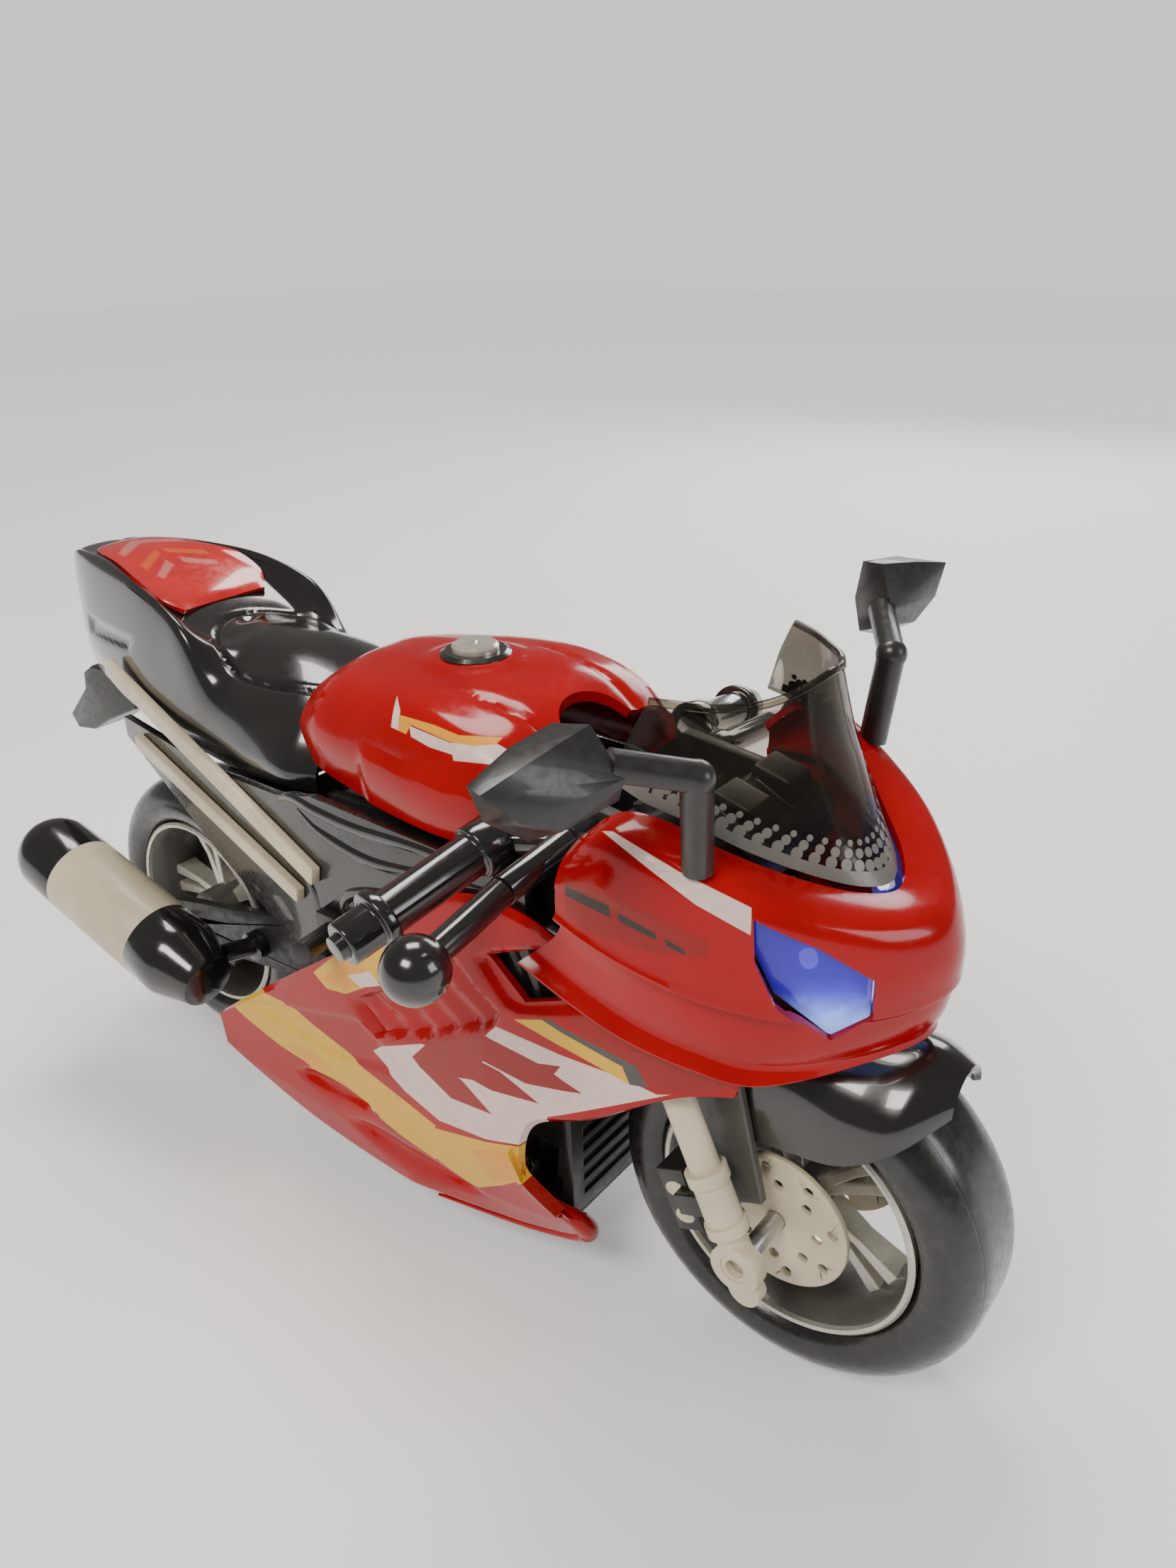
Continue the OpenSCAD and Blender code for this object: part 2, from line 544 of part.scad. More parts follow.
// ---------------------------------------------------------------- tank, seat and tail
function section(x, p) = both_sides([for (q = p) [x, q[0], q[1]]]);
tank_sections = [
    section(-14.5, [[-20, 114], [-20.5, 121], [-15, 127], [-7, 129.5], [0, 130]]),
    section(-5, [[-24, 113.6], [-24.5, 122.5], [-18.5, 131], [-8, 134.5], [0, 135]]),
    section(8, [[-26.5, 113], [-27, 123], [-21, 133], [-9, 136.3], [0, 136.8]]),
    section(21, [[-28, 112.5], [-28.8, 122.5], [-23.5, 134], [-10, 136.8], [0, 137]]),
    section(34, [[-28.5, 112], [-29.5, 121], [-24.5, 134], [-12, 136.8], [0, 137]]),
    section(46, [[-27, 111.5], [-28.5, 119.5], [-24.5, 130.5], [-13, 134], [0, 134.6]]),
    section(54, [[-24, 111.5], [-25.5, 117], [-22.5, 125.5], [-13, 129], [0, 129.8]])];
module tank_cover() color("#c81e22") difference() {
    panel(tank_sections, 2);
    translate([57, 0, 100]) cylinder(r = 10.5, h = 50);
    translate([button_x, 0, 120]) cylinder(r = 6, h = 30);
}
module cap_ring() color("#141415") translate([button_x, 0, button_z]) rotate_extrude()
    polygon([[5 + 2 * run, -5], [6, -5], [6, -0.8], [7.6, -0.8], [7.6, 0.3], [6.6, 0.9], [5 + 2 * run, 0.9]]);
module cap_button() color("#cfcfc6") translate([button_x, 0, button_z]) rotate_extrude()
    polygon([[0, -4], [5, -4], [5, 1.9], [4.4, 2.4], [1.3, 2.4], [0.9, 1.8], [0, 1.8]]);
seat_sections = [
    section(-15.2, [[-26, 107], [-26.6, 112], [-20, 121], [-9, 125], [0, 126]]),
    section(-30, [[-24.5, 105], [-25, 112], [-20.5, 122], [-9, 128.5], [0, 130]]),
    section(-44, [[-22.5, 104], [-23.5, 112], [-21, 123], [-10, 129], [0, 131]]),
    section(-53, [[-21.5, 104], [-23, 113], [-21.5, 133.5], [-12, 129.5], [0, 131]]),
    section(-62, [[-21, 104], [-22.5, 114], [-20.5, 138], [-14, 132.5], [0, 131.5]]),
    section(-76, [[-19, 105.5], [-21, 116], [-18.5, 140.5], [-14, 138.5], [0, 137]]),
    section(-94, [[-16, 107], [-17.5, 118], [-15, 141], [-10, 142.6], [0, 142.6]]),
    section(-111, [[-11.5, 109], [-13, 120], [-11, 140.5], [-7, 142.2], [0, 142.6]]),
    section(-123, [[-7, 108], [-8, 118], [-7, 137.5], [-5, 140.4], [0, 141]]),
    section(-131, [[-2.4, 106], [-2.8, 114], [-2.8, 127], [-2.2, 133], [0, 134]])];
module seat_unit() color("#1a1a1b") difference() {
    panel([for (i = [len(seat_sections) - 1 : -1 : 0]) seat_sections[i]], 2);
    translate([-57.5, 0, 120]) cylinder(r = 1.6, h = 20);
}
// The middle of the tail's top, raised: the insert lies on the seat unit
function raised(p, q, t) = let (s = [for (i = [0 : 8]) mix(p[i], q[i], t)])
    [for (v = [mix(s[2], s[3], 0.6), s[3], s[4], s[5], mix(s[6], s[5], 0.6)]) v + [0, 0, tail_lift]];
tail_sections = [
    raised(seat_sections[4], seat_sections[5], 0.3), seat_insert(5), seat_insert(6), seat_insert(7),
    raised(seat_sections[7], seat_sections[8], 0.5)];
function seat_insert(i) = raised(seat_sections[i], seat_sections[i], 0);
module tail_cover() color("#c81e22") panel([for (i = [len(tail_sections) - 1 : -1 : 0]) tail_sections[i]], 1.1);
cover_turn = 7.55;
cover_rear = [[0, 111], [-15, 106.5], [-44, 103], [-92, 103.5], [-92, 98], [-52, 80], [-16, 66], [0, 70]];
cover_front = [[0, 111], [36, 110.5], [60, 109], [60, 102], [48, 97], [26, 84], [0, 70]];
module at_cover() translate([0, -31.5, 0]) rotate(-cover_turn) children();
module side_covers() color("#1d1d1f") pair() {
    at_cover() slab(cover_rear, 0, 2);
    translate([0, -31.5, 0]) slab(cover_front, 0, 2);
}
module seat_rails() color("#d9cfae") pair() at_cover() {
    bar([-92, -1.2, 118], [0, -1.2, 92], 4.6, 2.4);
    bar([-82, -1.2, 100], [-8, -1.2, 84], 3.8, 2.4);
}
module rear_mudguard() color("#1a1a1b")
    slab([[-104, 108], [-128, 106], [-133, 103], [-134, 98], [rear_end, 87], [-143, 83], [-134, 84.5], [-124, 90],
        [-108, 97]], -6.5, 6.5);

// ---------------------------------------------------------------- exhaust, pegs, stand
ex_front = [-49.5, -35.5, 46.4];
ex_rear = [-122, -36, 65];
ex_len = norm(ex_rear - ex_front);
module exhaust_barrel() color("#d8cbb4") along(ex_front, ex_rear)
    translate([0, 0, 18.5]) cylinder(r = 10.8, h = 34);
module exhaust_end_cap() color("#141415") along(ex_front, ex_rear) difference() {
    union() {
        translate([0, 0, 52.5]) cylinder(r = 10.8, h = 11);
        translate([0, 0, 63.5]) intersection() {
            sphere(r = 10.8);
            cylinder(r = 12, h = 12);
        }
    }
    translate([0, 0, 62.5]) cylinder(r = 5, h = 16);
}
module exhaust_header() color("#1c1c1d") {
    along(ex_front, ex_rear) rotate_extrude() polygon([[0, -2], [7, -2], [10.8, 9], [10.8, 18.5], [0, 18.5]]);
    rod([-54, -29, 47.5], [-50, -18.4, 47], 2.6);
    translate([-50, 0, 47]) disc_y(4, -19.8, -16.95);
}
module footpegs() color("#161617") pair() {
    rod([4, -33, 80], [9, -46, 83], 2.4);
    translate([0, -34.2, 76]) cube([8, 2.6, 8]);
}
module side_stand() color("#1c1c1d") {
    rod([stand_x, stand_y, stand_z], [stand_x + 12, stand_y + 7, 2.4], 2.2);
    translate([stand_x + 12, stand_y + 7, 0]) cylinder(r = 4, h = 3);
    translate([stand_x, 0, stand_z]) disc_y(4, stand_y - 2, stand_y + 2);
    translate([stand_x, 0, stand_z]) disc_y(stand_pin_r, 17.5, stand_y);
}
// The knob of the power switch, with a flange that the switch case holds down
module power_slider() color("#141415") {
    translate([44.6, -3.6, 14.2]) cube([4, 7.2, 2.3]);
    translate([43.6, -6, 16.3]) cube([6, 12, 1.5]);
}
module switch_case() color("#3c3c3e") difference() {
    translate([42.6, -7.6, 16]) cube([12.2, 15.2, 6.8]);
    translate([40, -6.4, 15]) cube([20, 12.8, 3.1]);
}

// ---------------------------------------------------------------- mirrors
// The housing is a wedge: deep at its inner side, thin at its outer corner. The glass faces the rear
mirror_back = 82;
mirror_outline = [[-46, 146], [-47.5, 153.5], [-57, 153], [-66, 150.5], [-63, 143.5], [-54, 136.5], [-48, 138.5]];
mirror_front = [[93.5, -45, 146.5], [88.5, -46.5, 154.5], [87.5, -57, 153], [86, -67.5, 150.8], [88.5, -62.5, 145],
    [90, -55.5, 141.2], [92.8, -45.5, 143]];
mirror_middle = [-54.5, 146];
mirror_pivot = [90, 45];
left_turn = 20;
left_lift = 2;
module glass_plate(x, t) translate([x, mirror_middle[0], mirror_middle[1]]) rotate([90, 0, 90])
    linear_extrude(t) polygon([for (p = mirror_outline) 0.84 * (p - mirror_middle)]);
// Each mirror turns a little on its stalk: the left one is set further round
module mirrors_at() {
    children();
    translate([mirror_pivot[0], mirror_pivot[1], left_lift]) rotate(-left_turn)
        translate([-mirror_pivot[0], -mirror_pivot[1], 0]) mirror([0, 1, 0]) children();
}
module mirror_housings() color("#1a1b1a") difference() {
    mirrors_at() difference() {
        rings([[for (p = mirror_outline) [mirror_back, p[0], p[1]]], mirror_front]);
        glass_plate(mirror_back - 1, 2.6);
    }
    pair() stalk_arm(run);
}
module mirror_glasses() color("#cdd4da") mirrors_at() glass_plate(mirror_back + 0.7, 0.9);
module stalk_arm(gap) rod([90.5, -45, 148], [98.5, -33.5, 143.8], 2.6 + gap);
module stalk_post(gap) rod([98.5, -33.5, 143.5], [97.3, -31, 126], 2.7 + gap);
module mirror_stalks() color("#1a1b1a") pair() {
    stalk_arm(0);
    stalk_post(0);
    translate([98.5, -33.5, 143.5]) sphere(r = 3);
}

frame_right();
frame_left();
radiator_panel();
belly_pan();
battery_door();
batteries();
battery_contacts();
circuit_board();
speaker();
drive_motor();
steering_motor();
gearbox_case();
gearbox_cover();
swingarm_right();
nose_cowl();
windscreen();
headlight_lenses();
headlight_reflectors();
headlight_leds();
side_fairing_right();
side_fairing_left();
vent_grilles();
side_covers();
seat_rails();
tank_cover();
cap_ring();
seat_unit();
tail_cover();
rear_mudguard();
exhaust_barrel();
exhaust_end_cap();
exhaust_header();
footpegs();
mirror_housings();
mirror_stalks();
mirror_glasses();
instrument_panel();
case_screws();
steering_stem();
fork_legs();
front_fender();
brake_calipers();
front_axle();
handlebars();
grips();
front_tyre();
front_rim();
brake_discs();
servo_gear();
rear_tyre();
rear_rim();
rear_axle();
axle_gear();
idler_gear();
motor_pinion();
cap_button();
power_slider();
switch_case();
side_stand();
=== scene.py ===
"""Looks of the radio-controlled toy motorcycle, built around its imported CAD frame."""
import json
import math
import bmesh
import bpy
import numpy as np
from mathutils import Matrix, Vector


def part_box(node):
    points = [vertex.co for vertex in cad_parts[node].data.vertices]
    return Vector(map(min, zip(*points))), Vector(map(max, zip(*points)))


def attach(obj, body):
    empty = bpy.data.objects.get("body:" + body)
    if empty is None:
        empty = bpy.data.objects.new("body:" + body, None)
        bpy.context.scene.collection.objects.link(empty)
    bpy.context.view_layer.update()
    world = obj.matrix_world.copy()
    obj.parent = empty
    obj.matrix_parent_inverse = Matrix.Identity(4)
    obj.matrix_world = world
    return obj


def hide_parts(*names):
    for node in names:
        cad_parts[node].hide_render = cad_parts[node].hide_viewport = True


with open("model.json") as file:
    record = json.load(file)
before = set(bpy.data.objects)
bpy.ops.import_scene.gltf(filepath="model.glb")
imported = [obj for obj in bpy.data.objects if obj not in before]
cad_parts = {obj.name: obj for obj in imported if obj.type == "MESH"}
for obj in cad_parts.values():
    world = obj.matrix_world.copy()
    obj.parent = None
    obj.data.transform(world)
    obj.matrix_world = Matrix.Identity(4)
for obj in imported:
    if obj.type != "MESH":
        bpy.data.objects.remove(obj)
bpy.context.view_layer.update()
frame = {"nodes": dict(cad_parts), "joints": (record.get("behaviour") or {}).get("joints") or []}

MM = 0.001
TINY = 1e-9
SAME = 1e-6  # metres between points that count as one
SHARP = 32  # degrees between faces that still look smooth
BEVEL_FROM = 38  # degrees between faces whose edge gets a bevel
NODES = frame["nodes"]
JOINTS = {j["name"]: j for j in frame["joints"]}


def mm(v):
    """Metres as an array of millimetres."""
    return np.array(v, float) * 1000.0


def mid(node):
    """Middle of a CAD node's box, in millimetres."""
    low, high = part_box(node)
    return (mm(low) + mm(high)) / 2


# ---------------------------------------- shaping
def through(points, n):
    """Catmull-Rom line through the points, with n steps between neighbours."""
    p = np.asarray(points, float)
    out = []
    for i in range(len(p) - 1):
        a, b, c, d = p[max(i - 1, 0)], p[i], p[i + 1], p[min(i + 2, len(p) - 1)]
        for k in range(n):
            t = k / n
            out.append(0.5 * (2 * b + (c - a) * t + (2 * a - 5 * b + 4 * c - d) * t * t
                              + (3 * b - a - 3 * c + d) * t ** 3))
    out.append(p[-1])
    return np.array(out)


def both(points):
    """A line from the right side to the middle, carried on to the left side."""
    p = np.asarray(points, float)
    return np.concatenate([p, p[-2::-1] * [1, -1, 1]])


def patch(lines, rows, cols):
    """A fine grid through every line, and from line to line."""
    fine = np.array([through(line, cols) for line in lines])
    return np.stack([through(fine[:, c], rows) for c in range(fine.shape[1])], axis=1)


def normals(g, core):
    """Normals of the grid that point away from the core, a point inside the body."""
    u = np.gradient(g, axis=1)
    v = np.gradient(g, axis=0)
    n = np.cross(u, v)
    n /= np.maximum(np.linalg.norm(n, axis=2, keepdims=True), TINY)
    away = g - np.asarray(core, float)
    flip = np.sign((n * away).sum(axis=2)).mean()
    return n if flip >= 0 else -n


def smooth_step(x, a, b):
    """0 below a, 1 above b, with a smooth rise between."""
    t = np.clip((x - a) / (b - a), 0, 1)
    return t * t * (3 - 2 * t)


def edge_lines(outline):
    """For each edge of a convex outline, (k, l, m): k * x + l * z + m is the distance inwards."""
    p = [np.array(q, float) for q in outline]
    area = sum(p[i][0] * p[i - 1][1] - p[i - 1][0] * p[i][1] for i in range(len(p)))
    lines = []
    for i in range(len(p)):
        a, b = p[i - 1], p[i]
        e = (b - a) / np.linalg.norm(b - a)
        k = (-e[1], e[0], e[1] * a[0] - e[0] * a[1])
        lines.append(k if area < 0 else tuple(-v for v in k))
    return lines


def inside(x, z, outline, soft):
    """1 well inside the convex outline, 0 outside, with a soft edge of that width."""
    depth = np.minimum.reduce([k * x + l * z + m for k, l, m in edge_lines(outline)])
    return smooth_step(depth, 0, soft)


def mesh_of(name, verts, faces):
    """A mesh from points in millimetres, with its faces turned outwards."""
    mesh = bpy.data.meshes.new(name)
    mesh.from_pydata([tuple(v) for v in np.asarray(verts, float) * MM], [], faces)
    mesh.validate()
    bm = bmesh.new()
    bm.from_mesh(mesh)
    bmesh.ops.remove_doubles(bm, verts=bm.verts, dist=SAME)
    bmesh.ops.recalc_face_normals(bm, faces=bm.faces)
    bm.to_mesh(mesh)
    bm.free()
    return mesh


def make(name, verts, faces, body, mat, angle=SHARP, stands_for=(), slot=None):
    """A closed mesh as a piece that rides on the body."""
    mesh = mesh_of(name, verts, faces)
    shade(mesh, angle)
    mesh.materials.append(mat)
    obj = bpy.data.objects.new(name, mesh)
    bpy.context.scene.collection.objects.link(obj)
    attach(obj, body)
    if stands_for:
        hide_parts(*stands_for)
    return obj


def shade(mesh, angle):
    """Smooth faces, except over edges sharper than the angle."""
    mesh.polygons.foreach_set("use_smooth", [True] * len(mesh.polygons))
    mesh.set_sharp_from_angle(angle=math.radians(angle))


def wall(name, g, thick, core, body, mat, **more):
    """A closed thin wall whose outer face is the grid."""
    n = normals(g, core)
    rows, cols = g.shape[:2]
    inner = rows * cols
    verts = np.concatenate([g.reshape(-1, 3), (g - thick * n).reshape(-1, 3)])

    def at(r, c):
        return r * cols + c

    def rim(a, b):
        """Face across the wall's thickness, at its edge from a to b."""
        faces.append([a, b, inner + b, inner + a])

    faces = []
    for r in range(rows - 1):
        for c in range(cols - 1):
            q = [at(r, c), at(r + 1, c), at(r + 1, c + 1), at(r, c + 1)]
            faces += [q, [inner + i for i in reversed(q)]]
    for c in range(cols - 1):
        rim(at(0, c), at(0, c + 1))
        rim(at(rows - 1, c + 1), at(rows - 1, c))
    for r in range(rows - 1):
        rim(at(r + 1, 0), at(r, 0))
        rim(at(r, cols - 1), at(r + 1, cols - 1))
    return make(name, verts, faces, body, mat, **more)


def lathe(profile, steps=96, closed=True):
    """Points (radius, along) turned about +Y: vertices and faces."""
    verts, faces, n = [], [], len(profile)
    for k in range(steps):
        a = 2 * math.pi * k / steps
        verts += [(r * math.cos(a), y, r * math.sin(a)) for r, y in profile]
    for k in range(steps):
        for i in range(n if closed else n - 1):
            j = (i + 1) % n
            m = (k + 1) % steps
            faces.append([k * n + i, k * n + j, m * n + j, m * n + i])
    return np.array(verts), faces


def tube(path, radius, sides=12):
    """A round bar along the path, with closed ends."""
    p = np.asarray(path, float)
    r = np.full(len(p), float(radius)) if np.isscalar(radius) else np.asarray(radius, float)
    verts, faces = [], []
    up = Vector((0, 0, 1))
    for i in range(len(p)):
        d = Vector(p[min(i + 1, len(p) - 1)] - p[max(i - 1, 0)]).normalized()
        side = d.cross(up)
        if side.length < 0.1:
            side = d.cross(Vector((1, 0, 0)))
        side.normalize()
        lift = side.cross(d)
        for k in range(sides):
            a = 2 * math.pi * k / sides
            verts.append(p[i] + r[i] * (math.cos(a) * np.array(side) + math.sin(a) * np.array(lift)))
    for i in range(len(p) - 1):
        near, far = i * sides, (i + 1) * sides
        for k in range(sides):
            m = (k + 1) % sides
            faces.append([near + k, near + m, far + m, far + k])
    faces.append(list(range(sides))[::-1])
    faces.append([(len(p) - 1) * sides + k for k in range(sides)])
    return np.array(verts), faces


def plate_faces(n):
    """Faces of a plate: n points of one side, then the same n of the other."""
    faces = [list(range(n))[::-1], list(range(n, 2 * n))]
    return faces + [[i, (i + 1) % n, n + (i + 1) % n, n + i] for i in range(n)]


def prism(outline, place, low, high):
    """An outline extruded from low to high in its own plane, then put in place."""
    n = len(outline)
    verts = [place @ Vector((x, y, level)) for level in (low, high) for x, y in outline]
    return np.array([tuple(v) for v in verts]), plate_faces(n)


def join(*parts):
    """Several meshes as one."""
    verts, faces, base = [], [], 0
    for v, f in parts:
        verts.append(np.asarray(v))
        faces += [[i + base for i in q] for q in f]
        base += len(v)
    return np.concatenate(verts), faces


def cut(obj, shape, careful=False):
    """Takes the shape away from the object's mesh; careful is for a wall that folds back on itself."""
    mesh = mesh_of("cutter", *shape)
    tool = bpy.data.objects.new("cutter", mesh)
    bpy.context.scene.collection.objects.link(tool)
    mod = obj.modifiers.new("cut", "BOOLEAN")
    mod.operation = "DIFFERENCE"
    mod.solver = "EXACT"
    mod.use_self = careful
    mod.object = tool
    bpy.context.view_layer.update()
    done = bpy.data.meshes.new_from_object(obj.evaluated_get(bpy.context.evaluated_depsgraph_get()))
    old = obj.data
    obj.modifiers.clear()
    obj.data = done
    done.name = old.name
    bpy.data.objects.remove(tool)
    bpy.data.meshes.remove(mesh)
    bpy.data.meshes.remove(old)
    shade(obj.data, SHARP)


# ---------------------------------------- materials
class Paint:
    """A small helper to wire one material's nodes."""

    def __init__(self, name):
        self.mat = bpy.data.materials.new(name)
        self.mat.use_nodes = True
        self.nodes = self.mat.node_tree.nodes
        self.links = self.mat.node_tree.links
        self.nodes.clear()
        self.out = self.nodes.new("ShaderNodeOutputMaterial")
        self.bsdf = self.nodes.new("ShaderNodeBsdfPrincipled")
        self.links.new(self.bsdf.outputs[0], self.out.inputs[0])
        where = self.nodes.new("ShaderNodeTexCoord")
        scaled = self.nodes.new("ShaderNodeVectorMath")
        scaled.operation = "SCALE"
        scaled.inputs[3].default_value = 1000
        self.links.new(where.outputs["Object"], scaled.inputs[0])
        self.pos = scaled.outputs[0]

    def put(self, socket, value):
        """Links the socket to another one, or sets its value."""
        if hasattr(value, "is_linked"):
            self.links.new(value, socket)
        else:
            socket.default_value = value

    def math(self, op, a, b=0.0, c=0.0):
        """Result of a Math node."""
        n = self.nodes.new("ShaderNodeMath")
        n.operation = op
        for s, v in zip(n.inputs, (a, b, c)):
            self.put(s, v)
        return n.outputs[0]

    def noise(self, scale, detail=3.0, rough=0.5):
        """Noise with scale cells to the millimetre."""
        n = self.nodes.new("ShaderNodeTexNoise")
        n.inputs["Scale"].default_value = scale
        n.inputs["Detail"].default_value = detail
        n.inputs["Roughness"].default_value = rough
        self.links.new(self.pos, n.inputs["Vector"])
        return n.outputs[0]

    def ramp(self, value, low, high, to_low=0.0, to_high=1.0):
        """Smooth change from to_low to to_high while the value goes from low to high."""
        n = self.nodes.new("ShaderNodeMapRange")
        n.interpolation_type = "SMOOTHSTEP"
        for s, v in zip(n.inputs, (value, low, high, to_low, to_high)):
            self.put(s, v)
        return n.outputs[0]

    def blend(self, mask, a, b):
        """Colour a where the mask is 0, and b where it is 1."""
        n = self.nodes.new("ShaderNodeMix")
        n.data_type = "RGBA"
        self.put(n.inputs[0], mask)
        for s, v in ((n.inputs[6], a), (n.inputs[7], b)):
            self.put(s, (*v, 1) if isinstance(v, tuple) else v)
        return n.outputs[2]

    def split(self):
        """X, Y and Z of the place, in millimetres."""
        n = self.nodes.new("ShaderNodeSeparateXYZ")
        self.links.new(self.pos, n.inputs[0])
        return n.outputs

    def plane(self, a, b):
        """Two coordinates and a one, as a vector for the outline masks."""
        n = self.nodes.new("ShaderNodeCombineXYZ")
        self.put(n.inputs[0], a)
        self.put(n.inputs[1], b)
        n.inputs[2].default_value = 1
        return n.outputs[0]

    def outline(self, plane, points, soft=0.08):
        """1 inside a convex outline drawn in the plane."""
        low = None
        for k in edge_lines(points):
            n = self.nodes.new("ShaderNodeVectorMath")
            n.operation = "DOT_PRODUCT"
            self.links.new(plane, n.inputs[0])
            n.inputs[1].default_value = k
            low = n.outputs["Value"] if low is None else self.math("MINIMUM", low, n.outputs["Value"])
        return self.ramp(low, -soft, soft)

    def bump(self, height, strength, distance=0.0002):
        """Raises the surface's shading by the height."""
        n = self.nodes.new("ShaderNodeBump")
        n.inputs["Strength"].default_value = strength
        n.inputs["Distance"].default_value = distance
        self.links.new(height, n.inputs["Height"])
        self.links.new(n.outputs[0], self.bsdf.inputs["Normal"])

    def set(self, **values):
        """Sets or links the shader's sockets by name."""
        for k, v in values.items():
            if isinstance(v, tuple) and len(v) == 3:
                v = (*v, 1)
            self.put(self.bsdf.inputs[k.replace("_", " ")], v)

    def coat(self, weight, rough=None):
        """A clear coat over the shader."""
        self.bsdf.inputs["Coat Weight"].default_value = weight
        if rough is not None:
            self.bsdf.inputs["Coat Roughness"].default_value = rough


def plastic(name, color, rough=0.35, coat=0.0, spread=0.12, grain=0.6, metal=0.0):
    """Moulded plastic: a faint mottle, uneven polish and a fine grain."""
    p = Paint(name)
    cloud = p.ramp(p.noise(0.06), 0.3, 0.7)
    dark = tuple(c * (1 - spread) for c in color)
    light = tuple(min(1, c * (1 + spread)) for c in color)
    wear = p.ramp(p.noise(0.5, 5), 0.35, 0.75, rough * 0.85, rough * 1.25)
    p.set(Base_Color=p.blend(cloud, dark, light), Roughness=wear, Metallic=metal)
    p.coat(coat, 0.05)
    p.bump(p.noise(9.0, 2), grain * 0.2, 0.00005)
    return p


RED = (0.37, 0.002, 0.004)
WHITE = (0.80, 0.61, 0.56)
YELLOW = (0.78, 0.45, 0.035)
ORANGE = (0.80, 0.35, 0.03)
GREY = (0.085, 0.08, 0.072)
INK = (0.045, 0.035, 0.03)
MATT_RED = (0.30, 0.013, 0.011)
# axes of the slanted plane that the cowl's and the tank's prints are drawn in
ACROSS = (0.786, 0.618)
RISING = (-0.253, 0.3575, 0.899)


def red_paint(name, decals=(), plane="side"):
    """Red gloss plastic with printed shapes: each is a colour and one or more convex outlines."""
    p = Paint(name)
    x, y, z = p.split()
    side_y = p.math("MULTIPLY", p.math("ABSOLUTE", y), -1.0)
    if plane == "side":
        flat = p.plane(x, z)
    else:
        a = p.math("ADD", p.math("MULTIPLY", x, ACROSS[0]), p.math("MULTIPLY", side_y, ACROSS[1]))
        b = p.math("ADD", p.math("MULTIPLY", x, RISING[0]), p.math("MULTIPLY", side_y, RISING[1]))
        flat = p.plane(a, p.math("ADD", b, p.math("MULTIPLY", z, RISING[2])))
    outer = p.math("GREATER_THAN", p.math("ABSOLUTE", y), 3.0)
    dark, light = (tuple(c * k for c in RED) for k in (0.9, 1.08))
    color = p.blend(p.ramp(p.noise(0.05), 0.3, 0.7), dark, light)
    rough = p.ramp(p.noise(0.7, 5), 0.35, 0.8, 0.14, 0.24)
    for tint, shapes in decals:
        mask = None
        for s in shapes:
            m = p.outline(flat, s)
            mask = m if mask is None else p.math("MAXIMUM", mask, m)
        mask = p.math("MULTIPLY", mask, outer)
        worn = p.blend(p.ramp(p.noise(0.8, 4), 0.3, 0.75), tuple(c * 0.9 for c in tint), tint)
        color = p.blend(mask, color, worn)
        rough = p.math("MAXIMUM", rough, p.math("MULTIPLY", mask, 0.36))
    dust = p.ramp(p.noise(3.0, 2), 0.72, 0.8, 0.0, 0.35)
    p.set(Base_Color=p.blend(dust, color, (0.62, 0.12, 0.10)), Roughness=rough)
    p.bsdf.inputs["Specular IOR Level"].default_value = 0.22
    p.coat(0.16, 0.06)
    p.bump(p.noise(0.25, 2), 0.12, 0.0003)
    return p.mat


black = plastic("satin_black", (0.017, 0.016, 0.015), 0.38, 0.15).mat
gloss_black = plastic("gloss_black", (0.013, 0.012, 0.011), 0.16, 0.7, grain=0.9).mat
frame_black = plastic("frame_black", (0.02, 0.019, 0.018), 0.5).mat
cream = plastic("cream_plastic", (0.62, 0.55, 0.40), 0.42, 0.1).mat
silver = plastic("silver_lacquer", (0.58, 0.56, 0.49), 0.28, 0.3, metal=0.55).mat
steel = plastic("brushed_steel", (0.55, 0.55, 0.55), 0.3, metal=0.95).mat
nylon = plastic("gear_nylon", (0.74, 0.69, 0.56), 0.45).mat
brass = plastic("brass", (0.72, 0.50, 0.17), 0.3, metal=0.95).mat
green = plastic("board_green", (0.02, 0.21, 0.06), 0.35, 0.4).mat
cell = plastic("cell_wrap", (0.03, 0.13, 0.42), 0.25, 0.5).mat
dark_grey = plastic("dark_grey", GREY, 0.45, 0.1).mat
band_grey = plastic("band_grey", (0.16, 0.15, 0.135), 0.4, 0.2).mat


def rubber():
    """Shiny moulded tyre with a faint mould line round the crown and dust on the shoulders."""
    p = Paint("tyre_plastic")
    side = p.math("ABSOLUTE", p.split()["Y"])
    line = p.math("MULTIPLY", p.ramp(side, 7.0, 7.25), p.ramp(side, 7.45, 7.7, 1.0, 0.0))
    dust = p.math("MULTIPLY", p.ramp(p.noise(0.35, 6, 0.6), 0.45, 0.8), 0.5)
    p.set(Base_Color=p.blend(dust, (0.012, 0.012, 0.011), (0.045, 0.042, 0.038)),
          Roughness=p.ramp(p.noise(0.5, 5), 0.3, 0.75, 0.24, 0.42))
    p.coat(0.35, 0.15)
    height = p.math("SUBTRACT", p.math("MULTIPLY", p.noise(4.0, 3), 0.2), line)
    p.bump(height, 0.5, 0.00025)
    return p.mat


